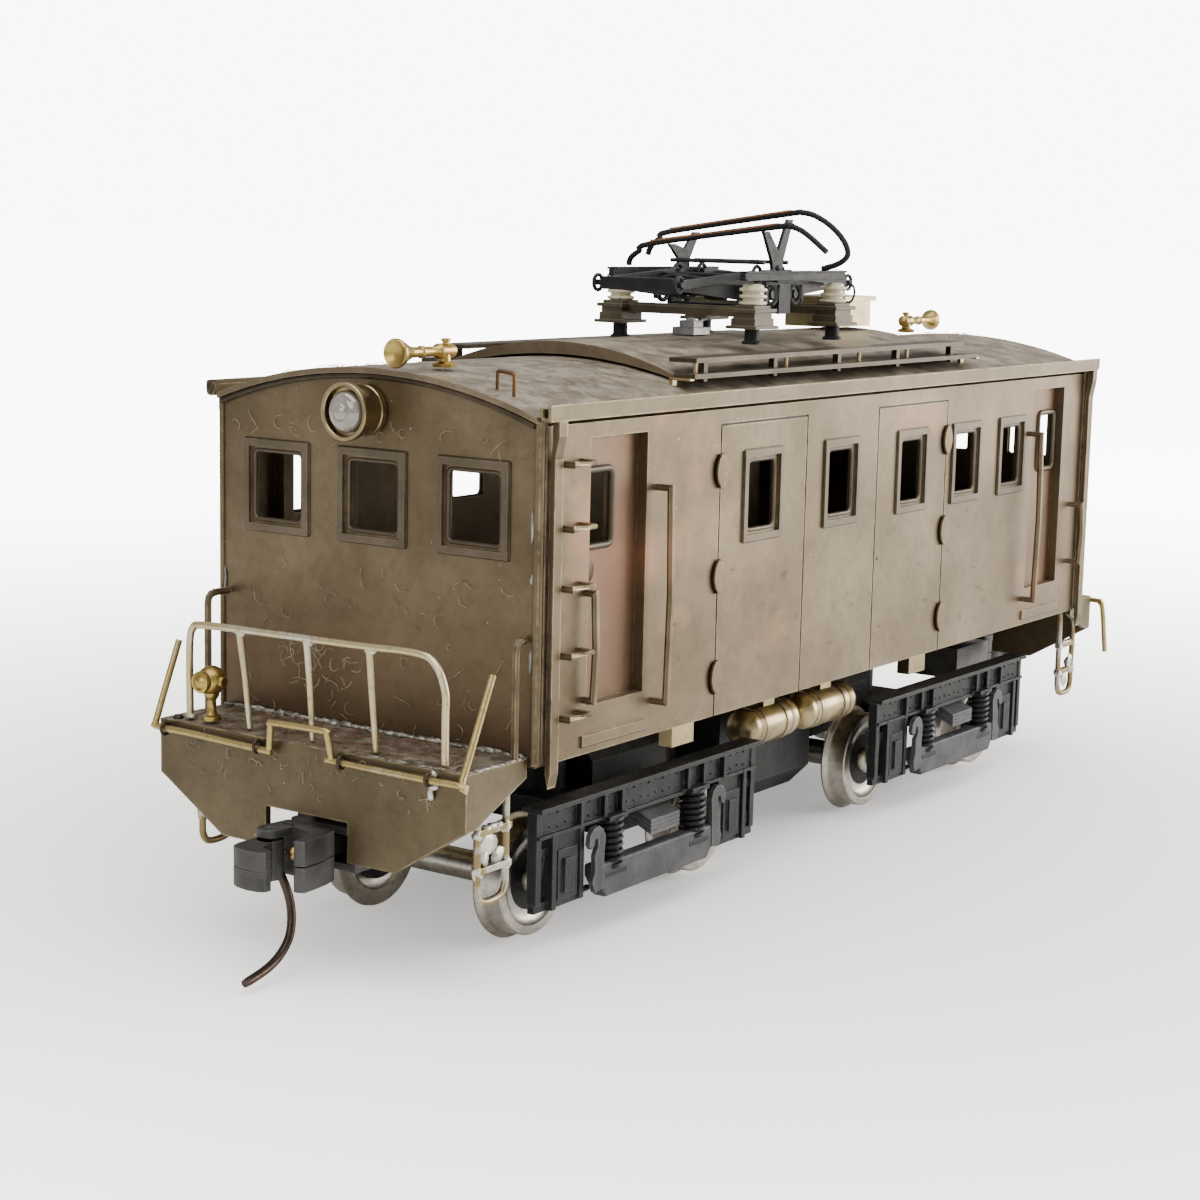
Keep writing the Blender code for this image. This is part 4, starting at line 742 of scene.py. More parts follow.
def make_side_frame(end, side_name, looks):
    """A bogie's side frame: casting, coil springs, swing links with leaves, and the plank below them."""
    node = f"side_frame_{end}_{side_name}"
    low, high = mm_box(node)
    middle = (low.x + high.x) / 2
    side, face = (1, high.y) if high.y > 0 else (-1, low.y)
    body = f"bogie_{end}"
    casting = Build()
    side_frame_casting(casting, middle, face, side, high.z)
    casting.done(f"frame_casting_{end}_{side_name}", looks["black"], body, node, bevel=0.07, smooth=35)
    springs = Build()
    for sign in (-1, 1):
        x, y = middle + sign * 6.6, face - side * 1.05
        spring_coil(springs, x, y, 5.7, 10.3, 1.02, 0.21, 8)
        springs.rod(5.4, 10.4, 0.72, "z", (x, y, 0), 16)
    springs.done(f"coil_springs_{end}_{side_name}", looks["spring"], body, smooth=50)
    links = Build()
    for sign in (-1, 1):
        hook_link(links, middle, face, side, sign)
    leaf_pack(links, middle, face, side)
    links.done(f"links_{end}_{side_name}", looks["worn"], body, bevel=0.05)
    plank = Build()
    outline = [(middle - 9.6, 6.6), (middle - 9.6, 5.6), (middle - 8.2, 3.5), (middle + 8.2, 3.5),
               (middle + 9.6, 5.6), (middle + 9.6, 6.6)]
    plank.prism(outline, face - side * 0.25, face - side * 1.7, "y")
    plank.done(f"spring_plank_{end}_{side_name}", looks["worn"], body, bevel=0.25, smooth=50)


WORM_WHEEL_TEETH = 14


def make_wheelset(end, place, looks):
    """Wheels with a flange and a dished web on an axle, the worm wheel on an inner one, and black hubs."""
    node = f"wheelset_{end}_{place}"
    low, high = mm_box(node)
    x = (low.x + high.x) / 2
    z = (low.z + high.z) / 2
    body = f"axle_{end}_{place}"
    flange = (high.x - low.x) / 2
    tread = flange - 0.6
    half = [(0.5, 12.0), (0.5, 10.5), (1.15, 10.45), (1.35, 10.2), (1.4, 9.55), (2.0, 9.35), (3.3, 9.4),
            (3.9, 9.7), (4.05, 9.85), (tread - 0.15, 9.85), (tread - 0.02, 9.75), (tread + 0.08, 8.05),
            (tread + 0.22, 7.85), (flange - 0.08, 7.72), (flange, 7.6), (flange - 0.05, 7.42),
            (flange - 0.4, 7.27), (4.0, 7.25), (3.7, 7.5), (2.4, 7.7), (1.8, 7.45), (1.5, 7.25), (1.5, 6.6),
            (1.3, 6.5)]
    profile = [(0.0, 12.0)] + half + [(r, -y) for r, y in reversed(half)] + [(0.0, -12.0)]
    wheels = Build()
    wheels.turned(profile, "y", (x, 0, z), 72)
    if place == "inner":
        outline = []
        for tooth in range(WORM_WHEEL_TEETH):
            for radius, part in ((2.2, -0.34), (2.62, -0.17), (2.7, -0.1), (2.7, 0.1), (2.62, 0.17),
                                 (2.2, 0.34)):
                angle = 2 * math.pi * (tooth + part) / WORM_WHEEL_TEETH
                outline.append((x + radius * math.sin(angle), z + radius * math.cos(angle)))
        wheels.prism(outline, -1.1, 1.1, "y")
    wheels.done(f"wheels_{end}_{place}", looks["steel"], body, node, smooth=35)
    hubs = Build()
    for side in (-1, 1):
        ring = [(0, side * 7.0), (2.95, side * 7.18), (3.0, side * 7.3), (3.0, side * 8.6), (0, side * 8.6)]
        hubs.turned(ring, "y", (x, 0, z), 40)
        face = [(0, side * 9.0), (2.6, side * 9.05), (2.7, side * 9.42), (1.6, side * 9.55), (0, side * 9.56)]
        hubs.turned(face, "y", (x, 0, z), 40)
    hubs.done(f"wheel_hubs_{end}_{place}", looks["black"], body, smooth=35)


# ---------------------------------------------------------------- pantograph

def make_mount(end, looks):
    """Stepped feet and cross bar, the posts under them, and a ribbed insulator with a wire loop on each."""
    node = f"pantograph_mount_{end}"
    low, high = mm_box(node)
    x = (low.x + high.x) / 2
    middle = (low.y + high.y) / 2
    reach = (high.y - low.y) / 2 - 1.7
    feet = Build()
    posts = Build()
    cream = Build()
    feet.box(x - 0.6, x + 0.6, middle - reach, middle + reach, 52.35, 53.15)
    feet.box(x - 0.35, x + 0.35, middle - reach, middle + reach, 53.1, 53.35)
    for outward in (-1, 1):
        y = middle + outward * reach
        for dx, dy, z0, z1 in ((2.1, 1.7, 51.3, 51.62), (1.75, 1.35, 51.55, 52.3), (1.6, 1.2, 52.2, 52.95),
                               (2.0, 1.5, 52.85, 53.2), (1.5, 1.1, 53.15, 53.5)):
            feet.box(x - dx, x + dx, y - dy, y + dy, z0, z1)
        posts.turned([(0, low.z), (0.95, low.z), (0.95, low.z + 0.25), (0.72, low.z + 0.35), (0.72, 51.4),
                      (0, 51.4)],
                     "z", (x, y, 0), 20)
        profile = [(0, 53.4), (1.0, 53.4)]
        for rib in range(3):
            base = 53.5 + 0.62 * rib
            profile += [(1.0, base), (1.28, base + 0.08), (1.35, base + 0.2), (1.3, base + 0.34),
                        (1.02, base + 0.42)]
        profile += [(1.0, 55.35), (0.7, 55.5), (0, 55.5)]
        cream.turned(profile, "z", (x, y, 0), 32)
        loop = [(x + 1.55 + 0.15 * math.sin(a), y + outward * 0.9 + 0.62 * math.cos(a),
                 54.45 + 0.92 * math.sin(a))
                for a in turns(20)]
        posts.tube(loop, 0.13, 6, closed=True)
    feet.done(f"mount_feet_{end}", looks["olive"], stands_for=node, bevel=0.06)
    posts.done(f"mount_posts_{end}", looks["black"])
    cream.done(f"insulators_{end}", looks["cream"], smooth=50)


def flat_bar(build, a, b, y, thick, wide_a, wide_b):
    """A tapered flat bar in the plane of an arm's motion, between two (x, z) points."""
    along = Vector((b[0] - a[0], b[1] - a[1])).normalized()
    across = Vector((-along.y, along.x))
    outline = []
    for point, wide, sign in ((a, wide_a, 1), (b, wide_b, 1), (b, wide_b, -1), (a, wide_a, -1)):
        outline.append((point[0] + across.x * wide / 2 * sign, point[1] + across.y * wide / 2 * sign))
    build.prism(outline, y - thick / 2, y + thick / 2, "y")


def pivots():
    """(x, z) of each pantograph pivot, from the record's joints, in millimetres, and the mid-plane's y."""
    spots = {}
    for joint in frame["joints"]:
        where = joint["pos_m"]
        spots[joint["name"]] = (where[0] / MM, where[2] / MM)
        if joint["name"] == "pantograph_raise":
            middle = where[1] / MM
    return spots, middle


def make_arms(looks):
    """Lower arms with their shafts and braces, and the thinner upper arms with rings at both ends."""
    spots, middle = pivots()
    for end, base, knee in (("front", "pantograph_raise", "knee_front"),
                            ("rear", "lower_arm_rear_turn", "knee_rear")):
        b, k = spots[base], spots[knee]  # the shaft and the knee, as (x, z)
        head = (b[0], spots["collector_level"][1])
        sign = -1 if end == "front" else 1
        lower = Build()
        lower.rod(-6.45, 6.45, 0.42, "y", (b[0], 0, b[1]), 20)
        lower.rod(-4.95, -4.0, 0.28, "y", (k[0], 0, k[1]), 16)
        lower.rod(4.0, 4.95, 0.28, "y", (k[0], 0, k[1]), 16)
        lower.box(k[0] - 0.35, k[0] + 0.35, -4.05, 4.05, k[1] - 0.6, k[1] + 0.6)
        lower.box(k[0] + sign * 0.3, k[0] - sign * 0.5, -3.9, 3.9, k[1] - 0.62, k[1] - 0.4)
        for y in (-3.5, 3.5):
            flat_bar(lower, b, k, y, 0.5, 1.5, 0.95)
            rib = ((b[0] + sign * 2.0, b[1] + 0.62), (k[0] - sign * 1.5, k[1] + 0.42))
            flat_bar(lower, *rib, y + 0.35, 0.35, 0.2, 0.2)
        lower.tube([(b[0], -3.4, b[1]), (k[0], 3.4, k[1])], 0.22, 8)
        lower.tube([(b[0], 3.4, b[1] - 0.1), (k[0], -3.4, k[1] - 0.1)], 0.16, 8)
        lower.rod(-1.1, 1.1, 0.75, "y", (b[0], 0, b[1]), 16)
        lower.done(f"lower_arm_bars_{end}", looks["black"], f"lower_arm_{end}", f"lower_arm_{end}",
                   bevel=0.05, shift_y=middle)
        upper = Build()
        for y in (-4.55, 4.55):
            flat_bar(upper, (k[0] - sign * 0.5, k[1]), (head[0] + sign * 0.6, head[1]), y, 0.36, 0.85, 0.7)
            for x, z in (k, head):
                upper.tube(circle(x, y, z, 0.72, 16), 0.2, 6, closed=True)
        brace = (head[0] + sign * 2.6, head[1] - 0.18)
        upper.tube([(brace[0], -4.6, brace[1]), (brace[0], 4.6, brace[1])], 0.22, 8)
        low = (k[0] - sign * 6.0, k[1] + 0.42)
        upper.tube([(brace[0], 4.5, brace[1]), (low[0], -4.5, low[1])], 0.18, 8)
        upper.done(f"upper_arm_bars_{end}", looks["black"], f"upper_arm_{end}", f"upper_arm_{end}",
                   bevel=0.04, shift_y=middle)


# The two strips, their pins and the four arm shafts all stand this far from the middle.
STRIP_X = 2.2


def make_head(looks):
    """Two bent strips with rubbed copper tops on triangular side plates."""
    spots, middle = pivots()
    top = spots["collector_level"][1]
    crown = mm_box("pantograph_head")[1].z - 0.4
    front = [(9.2, -5.55), (9.15, -5.0), (8.7, -4.5), (8.0, -4.1), (6.5, -3.3), (-8.0, -1.4), (-9.3, -1.35),
             (-10.5, -1.7), (-11.8, -2.5), (-13.4, -3.7)]
    rear = [(9.9, -4.5), (9.7, -3.9), (9.2, -3.3), (8.4, -2.75), (7.2, -2.1), (-6.8, -0.1), (-8.0, 0.0),
            (-9.4, -0.25), (-11.0, -1.05), (-12.2, -2.0), (-13.0, -3.0), (-13.25, -3.9), (-12.8, -4.5),
            (-11.8, -5.0), (-10.5, -5.35)]
    metal = Build()
    copper = Build()
    for x, path in ((-STRIP_X, front), (STRIP_X, rear)):
        points = [(x, y, crown + dz) for y, dz in path]
        metal.tube(bowed(points, 4), 0.29, 10)
        _, (_, y0, z0), (_, y1, z1) = max((a[1] - b[1], a, b) for a, b in zip(points, points[1:]))
        outline = [(y0, z0 + 0.12), (y1, z1 + 0.12), (y1, z1 + 0.36), (y0, z0 + 0.36)]
        copper.prism(outline, x - 0.34, x + 0.34, "x")
    for side in (-1, 1):
        y = middle + side * 5.4
        fall = (y - 6.5) / 14.5 * 1.9
        front_tip = crown - 3.3 - fall - 0.3
        rear_tip = crown - 2.2 - fall - 0.2
        outline = [(-0.8, top - 0.6), (0.8, top - 0.6), (1.0, top + 1.2), (2.75, rear_tip), (1.75, rear_tip),
                   (0.1, top + 2.2), (-1.75, front_tip), (-2.75, front_tip), (-1.0, top + 1.2)]
        metal.prism(outline, y - 0.18, y + 0.18, "y")
        metal.box(-2.75, 2.75, y - 0.16, y + 0.16, top - 0.42, top + 0.42)
        for x in (-STRIP_X, STRIP_X):
            metal.rod(*sorted((side * 4.05, side * 5.65)), 0.28, "y", (x, middle, top), 14)
        metal.rivets([(0.0, y + side * 0.22, top + 0.6)], 0.3, "y", side)
    for x in (-STRIP_X, STRIP_X):
        metal.tube([(x, middle - 5.4, top + 1.1), (x, middle + 5.4, top + 1.1)], 0.2, 8)
    metal.done("collector_strips", looks["black"], "collector", "pantograph_head", smooth=40)
    copper.done("collector_wear_plates", looks["copper"], "collector", bevel=0.05)


def make_pantograph_rails(looks):
    """The base: a cross bar, two flanged rails, and on each rail a post, plates and rings for the shafts."""
    low, high = mm_box("pantograph_base")
    middle = (low.y + high.y) / 2
    reach = (high.y - low.y) / 2
    length = (high.x - low.x) / 2
    base = Build()
    base.box(-0.8, 0.8, middle - 6.2, middle + 6.2, 52.5, 53.3)
    for side in (-1, 1):
        outer = middle + side * reach
        base.box(-length, length, outer - side * 0.2, outer - side * 0.85, 55.82, 56.68)
        base.box(-length, length, outer, outer - side * 0.9, 56.5, 56.7)
        base.box(-length, length, outer, outer - side * 0.9, 55.8, 55.98)
        for x in (-STRIP_X, STRIP_X):
            base.tube(circle(x, middle + side * 6.25, 54.4, 0.95, 20), 0.26, 6, closed=True)
        for x0, x1, y0, y1, z0, z1 in ((-3.6, 3.6, 5.98, 6.5, 55.3, 56.2), (-1.1, 1.1, 5.98, 6.5, 52.5, 55.4),
                                       (-3.0, 3.0, 6.25, 7.45, 55.6, 56.3),
                                       (-3.6, -3.2, 5.98, 6.5, 53.6, 55.5),
                                       (3.2, 3.6, 5.98, 6.5, 53.6, 55.5)):
            base.box(x0, x1, middle + side * y0, middle + side * y1, z0, z1)
    base.done("pantograph_frame", looks["black"], stands_for="pantograph_base", bevel=0.05)


# ---------------------------------------------------------------- underframe

TANK_Y, TANK_Z, TANK_RADIUS = -10.2, 13.2, 1.9


def make_tanks(looks):
    """Air tanks with domed ends and a groove near each, two soldered bands, and their hangers."""
    bands = Build()
    radius = TANK_RADIUS
    quarter = [math.pi / 2 * step / 8 for step in range(1, 9)]
    dome = [(radius * math.sin(angle), 1.25 * (1 - math.cos(angle))) for angle in quarter]
    for end in ENDS:
        node = f"air_tank_{end}"
        low, high = mm_box(node)
        profile = [(0.0, low.x)] + [(r, low.x + h) for r, h in dome]
        for seam in (low.x + 1.9, high.x - 1.9):
            profile += [(radius, seam - 0.12), (radius - 0.05, seam - 0.06), (radius - 0.05, seam + 0.06),
                        (radius, seam + 0.12)]
        profile += [(r, high.x - h) for r, h in reversed(dome)] + [(0.0, high.x)]
        tank = Build()
        tank.turned(profile, "x", (0, TANK_Y, TANK_Z), 48)
        middle = (low.x + high.x) / 2
        tank.box(middle - 1.0, middle + 1.0, TANK_Y - 0.6, TANK_Y + 0.6, TANK_Z + 1.0, high.z)
        tank.done(f"tank_{end}", looks["brass"], stands_for=node, smooth=40)
        for x in (low.x + 2.9, high.x - 2.9):
            bands.rod(x - 0.45, x + 0.45, radius + 0.09, "x", (0, TANK_Y, TANK_Z), 48)
    bands.done("tank_bands", looks["tank"], bevel=0.03)


# ---------------------------------------------------------------- couplers

KNUCKLE_PIN = (-62.6, 2.0)
COUPLER_FOOT = 7.9


def make_coupler_head(end, looks):
    """The shank and head in two layers, with the knuckle's pin on top and the ball of its spring."""
    px, py = KNUCKLE_PIN
    low = COUPLER_FOOT
    head = Build(end)
    head.turned([(0, 9.25), (1.7, 9.25), (1.8, 9.35), (1.8, 10.85), (1.7, 10.95), (0, 10.95)], "z",
                (-53.5, 0, 0), 28)
    head.box(px + 2.4, -54.2, -1.0, 1.0, 9.3, 10.9)
    outline = moved([(3.0, -2.1), (3.0, 2.5), (2.7, 2.75), (1.6, 2.85), (1.5, 0.9),
                     (1.2, -1.3), (-0.2, -1.95), (-1.95, -2.3), (-2.0, -2.7), (-1.7, -3.25),
                     (-0.4, -3.2), (1.2, -3.0), (2.6, -2.6)], px, 0.0)
    head.prism(outline, low, low + 2.05, "z")
    head.prism(outline, low + 2.15, low + 4.2, "z")
    corners = moved([(1.7, 2.6), (1.6, -1.2), (-1.5, -2.5), (-1.4, -3.1), (1.2, -2.9)], px, 0.0)
    head.prism([(x + 0.1, y * 0.96) for x, y in outline[:3]] + corners, low + 2.0, low + 2.2, "z")
    head.prism([(px + 1.9, 0.8), (px + 1.9, 2.85), (px - 0.2, py + 1.05), (px - 0.85, py + 0.7),
                (px - 1.1, py), (px - 0.85, py - 0.7), (px - 0.3, py - 1.05)], low + 3.5, low + 4.2, "z")
    head.turned([(0, 3.4), (0.38, 3.4), (0.38, 4.3), (0.25, 4.38), (0, 4.38)], "z", (px, py, low), 16)
    head.done(f"coupler_head_{end}", looks["coupler"], f"coupler_{end}", f"coupler_{end}", bevel=0.12,
              smooth=40)
    ball = Build(end)
    arc = [(0.6 * math.sin(a), 10.05 - 0.6 * math.cos(a)) for a in turns(24)[1:12]]
    ball.turned([(0, 9.45)] + arc + [(0, 10.65)], "z", (-61.62, 0.25, 0), 20)
    ball.done(f"spring_ball_{end}", looks["dimbrass"], f"coupler_{end}", smooth=60)


def make_knuckle(end, looks):
    """The hook of the knuckle in two layers, with its barrel, and the curved trip pin below."""
    px, py = KNUCKLE_PIN
    low = COUPLER_FOOT
    hook = Build(end)
    hook.turned([(0, low), (1.1, low), (1.15, low + 0.06), (1.15, low + 3.2), (1.1, low + 3.25),
                 (0, low + 3.25)],
                "z", (px, py, 0), 28)
    outline = moved([(-0.1, 1.1), (-1.4, 1.2), (-2.6, 1.15), (-3.3, 0.9),
                     (-3.7, 0.2), (-3.9, -1.0), (-3.8, -2.1), (-3.4, -2.65),
                     (-2.8, -2.7), (-2.55, -2.2), (-2.3, -1.3), (-1.3, -0.95),
                     (-0.4, -0.9)], px, py)
    hook.prism(outline, low, low + 1.62, "z")
    hook.prism(outline, low + 1.72, low + 3.25, "z")
    hook.prism([(x + 0.08, y) for x, y in outline[1:-1]], low + 1.55, low + 1.8, "z")
    hook.turned([(0, 2.9), (0.34, 2.9), (0.34, 3.7), (0.22, 3.85), (0, 3.85)], "y", (px - 1.7, 0, 9.3), 16)
    hook.done(f"knuckle_hook_{end}", looks["coupler"], f"knuckle_{end}", f"knuckle_{end}", bevel=0.12,
              smooth=40)
    pin = Build(end)
    path = bowed(moved([(0.4, 1.4, 8.6), (0.75, 0.7, 6.6), (0.7, 0.3, 4.9), (0.1, 0.0, 3.3),
                        (-1.1, -0.1, 2.1), (-2.8, -0.2, 1.35), (-5.35, -0.2, 0.77)], px, 0.0, 0.0), 5)
    pin.tube(path, [0.38] * (len(path) - 1) + [0.33], 12)
    pin.done(f"trip_pin_{end}", looks["pin"], f"knuckle_{end}", smooth=60)


# ---------------------------------------------------------------- end platforms

def make_gallery(end, looks):
    """The bent end rail on its three posts, with blobs of solder where they meet it and at one foot."""
    node = f"gallery_rail_{end}"
    low, high = mm_box(node)
    x = -abs((low.x + high.x) / 2)
    foot = low.z
    left, right, left_top, right_top = 14.0, -13.4, 27.0, 27.5
    chance = random.Random(7 if end == "rear" else 3)
    path = [(x, left, foot), (x, left + 0.05, foot + 4), (x, left, left_top - 1.5),
            (x, left - 0.35, left_top - 0.35), (x, left - 1.5, left_top + 0.05)]
    path += [(x, 6.0, 27.2), (x, -4.0, 27.35), (x, right + 2.9, right_top - 0.02),
             (x, right + 1.0, right_top - 0.75), (x, right + 0.05, right_top - 2.7),
             (x + 0.05, right + 0.05, 22.5), (x, right, foot)]
    rail = Build(end)
    rail.tube(bowed(path, 6), 0.32, 12)
    blobs = Build(end)
    for top_y, foot_y in ((8.3, 7.2), (0.9, 0.3), (-5.7, -6.4)):
        top = left_top + (right_top - left_top) * (left - top_y) / (left - right)
        bend = (x, (top_y + foot_y) / 2 + chance.uniform(-0.15, 0.15), (foot + top) / 2)
        post = bowed([(x, foot_y, foot), bend, (x, top_y, top)], 4)
        rail.tube(post, [0.24 + 0.10 * i / (len(post) - 1) for i in range(len(post))], 12)
        blobs.blob((x, top_y - 0.1, top - 0.2), (0.33, 0.62, 0.40), chance)
    blobs.blob((x, left, foot + 0.1), (0.45, 0.6, 0.32), chance)
    rail.done(f"rail_wire_{end}", looks["rail"], stands_for=node, smooth=60)
    blobs.done(f"rail_solder_{end}", looks["solder"], smooth=80)


def eye_bracket(build, x, y, z):
    """A small loop of wire round the lever, its two tails soldered to the headstock."""
    angles = [math.radians(-150 + 30 * step) for step in range(11)]
    loop = [(x - 0.5 * math.cos(angle), y, z + 0.5 * math.sin(angle)) for angle in angles]
    build.tube([(x + 0.45, y, z + 0.35)] + loop + [(x + 0.45, y, z - 0.4)], 0.14, 8)


def make_levers(looks):
    """Uncoupling levers: brass wire with a crank and bent handles, and at the front eye brackets with solder.
    The rear lever has swung down."""
    x = mm_box("uncoupling_lever_front")[0].x + 0.5
    z = 18.2
    wire = Build()
    points = moved([(2.5, 16.0, 7.1), (0.15, 16.28, 0.8), (0.0, 16.1, 0.05), (0.0, 12.0, -0.05),
                    (0.0, 3.8, -0.28), (-0.02, 3.4, -0.1), (-0.18, 3.1, 1.9), (-0.2, 2.8, 2.2),
                    (-0.2, -2.5, 2.3), (-0.18, -2.95, 2.1), (0.0, -3.3, 0.2), (0.0, -3.7, -0.1),
                    (0.0, -16.0, -0.1), (0.2, -16.35, 0.3), (3.4, -16.7, 8.1)], x, 0.0, z)
    wire.tube(bowed(points, 4), 0.29, 12)
    wire.done("lever_front", looks["wirebrass"], stands_for="uncoupling_lever_front", smooth=60)
    eyes = Build()
    for y in (15.2, 4.7, -4.3, -13.2):
        eye_bracket(eyes, x, y, z - 0.05)
    eyes.done("lever_eyes", looks["lip"], smooth=60)
    chance = random.Random(12)
    drops = Build()
    drops.blob((x + 0.45, -13.3, z + 0.3), (0.25, 0.4, 0.3), chance)
    drops.blob((x + 0.45, -13.3, z - 0.75), (0.25, 0.5, 0.3), chance)
    drops.blob((x + 0.42, -13.1, z - 1.35), (0.2, 0.25, 0.55), chance)
    drops.done("lever_solder", looks["solder"], smooth=80)
    x = mm_box("uncoupling_lever_rear")[1].x - 0.5
    half = [(x, 18.25, 12.25), (x, 17.7, 17.2), (x, 17.3, 17.95), (x, 16.5, z), (x, 3.6, z),
            (x + 0.05, 3.2, z - 0.3), (x + 0.2, 3.0, z - 2.1), (x + 0.2, 2.7, z - 2.3)]
    wire = Build()
    wire.tube(bowed([(x, -y, z) for x, y, z in half] + half[::-1], 4), 0.29, 12)
    wire.done("lever_rear", looks["wirebrass"], stands_for="uncoupling_lever_rear", smooth=60)


STEP_TREADS = (13.3, 10.2)


def make_steps(end, side_name, looks):
    """U-shaped wire steps with flat treads, thick with solder."""
    node = f"step_{end}_{side_name}"
    low, high = mm_box(node)
    y = (low.y + high.y) / 2
    sign = -1 if low.x < 0 else 1
    outer, inner, top, bottom = 57.1, 53.4, high.z, 7.5
    chance = random.Random(61 if end == "rear" else 58)
    wire = Build()
    path = [(sign * inner, y, top), (sign * inner, y, bottom + 2.4), (sign * (inner + 0.1), y, bottom + 0.9),
            (sign * (inner + 0.8), y, bottom + 0.1), (sign * (outer - 0.9), y, bottom),
            (sign * (outer - 0.1), y, bottom + 0.7), (sign * outer, y, bottom + 2.4), (sign * outer, y, top)]
    wire.tube(bowed(path, 6), 0.31, 12)
    for z in STEP_TREADS:
        wire.box(sign * (inner - 0.45), sign * (outer + 0.1), y - 0.34, y + 0.34, z - 0.27, z + 0.27)
    wire.done(f"step_wire_{end}_{side_name}", looks["step"], stands_for=node, bevel=0.05, smooth=50)
    blobs = Build()
    for x in (inner, outer):
        for z in STEP_TREADS:
            blobs.blob((sign * x, y, z - 0.1), (0.45, 0.40, 0.65), chance, 0.35)
    for step in range(3):
        spot = (sign * (inner + 1.0 + 0.8 * step), y, 13.55 + chance.uniform(-0.1, 0.1))
        blobs.blob(spot, (0.6, 0.36, 0.30), chance)
    blobs.blob((sign * (outer - 0.8), y, 11.1), (0.55, 0.34, 0.75), chance, 0.4)
    if (end, side_name) == ("front", "near"):
        blobs.blob((sign * (outer - 1.2), y, 12.2), (1.15, 0.22, 0.85), chance, 0.4)
        blobs.blob((sign * (inner + 0.9), y, 11.0), (0.8, 0.22, 0.7), chance, 0.4)
        blobs.blob((sign * (outer - 0.5), y, 14.9), (0.45, 0.3, 1.0), chance, 0.3)
    if (end, side_name) == ("rear", "near"):
        blobs.blob((sign * (inner + 1.8), y, 9.0), (0.95, 0.25, 0.95), chance, 0.15, 1)
    blobs.done(f"step_solder_{end}_{side_name}", looks["solder"], smooth=80)


# ---------------------------------------------------------------- lamps and whistles

LAMP_CENTRE = (0, 0.4, 45.4)
LAMP_BACK = -52.75


def make_headlamp(end, looks):
    """A turned lamp case with a bright rim, and a domed lens with a boss and an inner ring."""
    case = Build(end)
    case.turned(moved([(0.0, 0.0), (2.1, 0.0), (2.12, -0.5), (2.05, -0.6), (2.05, -2.2), (2.25, -2.35),
                       (2.4, -2.5), (2.4, -2.92), (2.34, -3.0), (2.1, -3.0), (2.02, -2.9), (1.95, -2.35),
                       (0.0, -2.3)], 0.0, LAMP_BACK),
                "x", LAMP_CENTRE, 64)
    case.done(f"lamp_case_{end}", looks["brass"], stands_for=f"headlamp_{end}")
    lens = Build(end)
    lens.turned(moved([(0.0, -0.2), (1.7, -0.2), (1.72, -0.3), (1.55, -0.62), (1.2, -0.9), (0.75, -1.05),
                       (0.68, -1.02), (0.6, -1.12), (0.3, -1.28), (0.0, -1.32)], 0.0, LAMP_BACK - 2.35),
                "x", LAMP_CENTRE, 56)
    lens.done(f"lamp_lens_{end}", looks["lens"], stands_for=f"headlamp_lens_{end}", smooth=50)


def make_marker(end, looks):
    """A round marker lamp on a turned post, with a small lens ahead and a knob at its side."""
    low, high = mm_box(f"marker_lamp_{end}")
    sign = -1 if end == "rear" else 1
    x = sign * (low.x + high.x) / 2 + 0.21
    y = sign * (low.y + high.y) / 2
    base = low.z
    ball = base + 3.4
    profile = [(0.0, base), (0.78, base), (0.8, base + 0.1), (0.78, base + 0.38), (0.5, base + 0.5),
               (0.4, base + 0.7), (0.38, base + 1.7), (0.5, base + 1.9), (0.62, base + 2.05)]
    for step in range(3, 17):
        angle = math.pi * step / 17
        profile.append((1.25 * math.sin(angle), ball - 1.25 * math.cos(angle)))
    profile += [(0.16, ball + 1.24), (0.0, ball + 1.25)]
    lamp = Build(end)
    lamp.turned(profile, "z", (x, y, 0), 36)
    lens = [(0.0, x), (0.85, x), (0.85, x - 1.1), (0.95, x - 1.2), (0.9, x - 1.45), (0.65, x - 1.5),
            (0.6, x - 1.4), (0.35, x - 1.6), (0.0, x - 1.68)]
    lamp.turned(lens, "x", (0, y, ball), 32)
    lamp.turned([(0.0, y - 1.45), (0.4, y - 1.45), (0.45, y - 1.3), (0.45, y), (0, y)], "y", (x, 0, ball), 20)
    lamp.done(f"marker_{end}", looks["dimbrass"], stands_for=f"marker_lamp_{end}", smooth=40)


def make_whistle_horn(end, looks):
    """A trumpet whistle on a turned post, with a small valve on top."""
    foot = mm_box(f"whistle_{end}")[0].z
    y, z = -4.2, 50.3
    bell = [(0.0, -54.45), (0.6, -54.5), (0.95, -54.78), (1.12, -54.88), (1.2, -54.75), (1.18, -54.5),
            (0.95, -54.0), (0.72, -53.5), (0.52, -53.0), (0.44, -52.6), (0.42, -51.7), (0.52, -51.6),
            (0.52, -51.35), (0.42, -51.25), (0.42, -49.7), (0.62, -49.4), (0.64, -48.9), (0.55, -48.7),
            (0.62, -48.4), (0.62, -47.6), (0.4, -47.4), (0.0, -47.3)]
    horn = Build(end)
    horn.turned(bell, "x", (0, y, z), 40)
    horn.turned([(0, foot + 0.02), (0.95, foot + 0.02), (1.0, foot + 0.3), (0.55, foot + 0.5), (0.5, z),
                 (0, z)],
                "z", (-48.5, y, 0), 28)
    horn.turned([(0, z), (0.3, z), (0.3, z + 0.75), (0.42, z + 0.8), (0.42, z + 1.0), (0, z + 1.05)], "z",
                (-48.3, y, 0), 16)
    horn.done(f"horn_{end}", looks["dimbrass"], stands_for=f"whistle_{end}", smooth=40)


# ---------------------------------------------------------------- traces of handwork on the body

ROOF_RADIUS = 49.67
ROOF_CROWN = 48.9
# How far each deck reaches from the middle, with its direction along X.
DECKS = ((-1, 60.5), (1, 58.4))


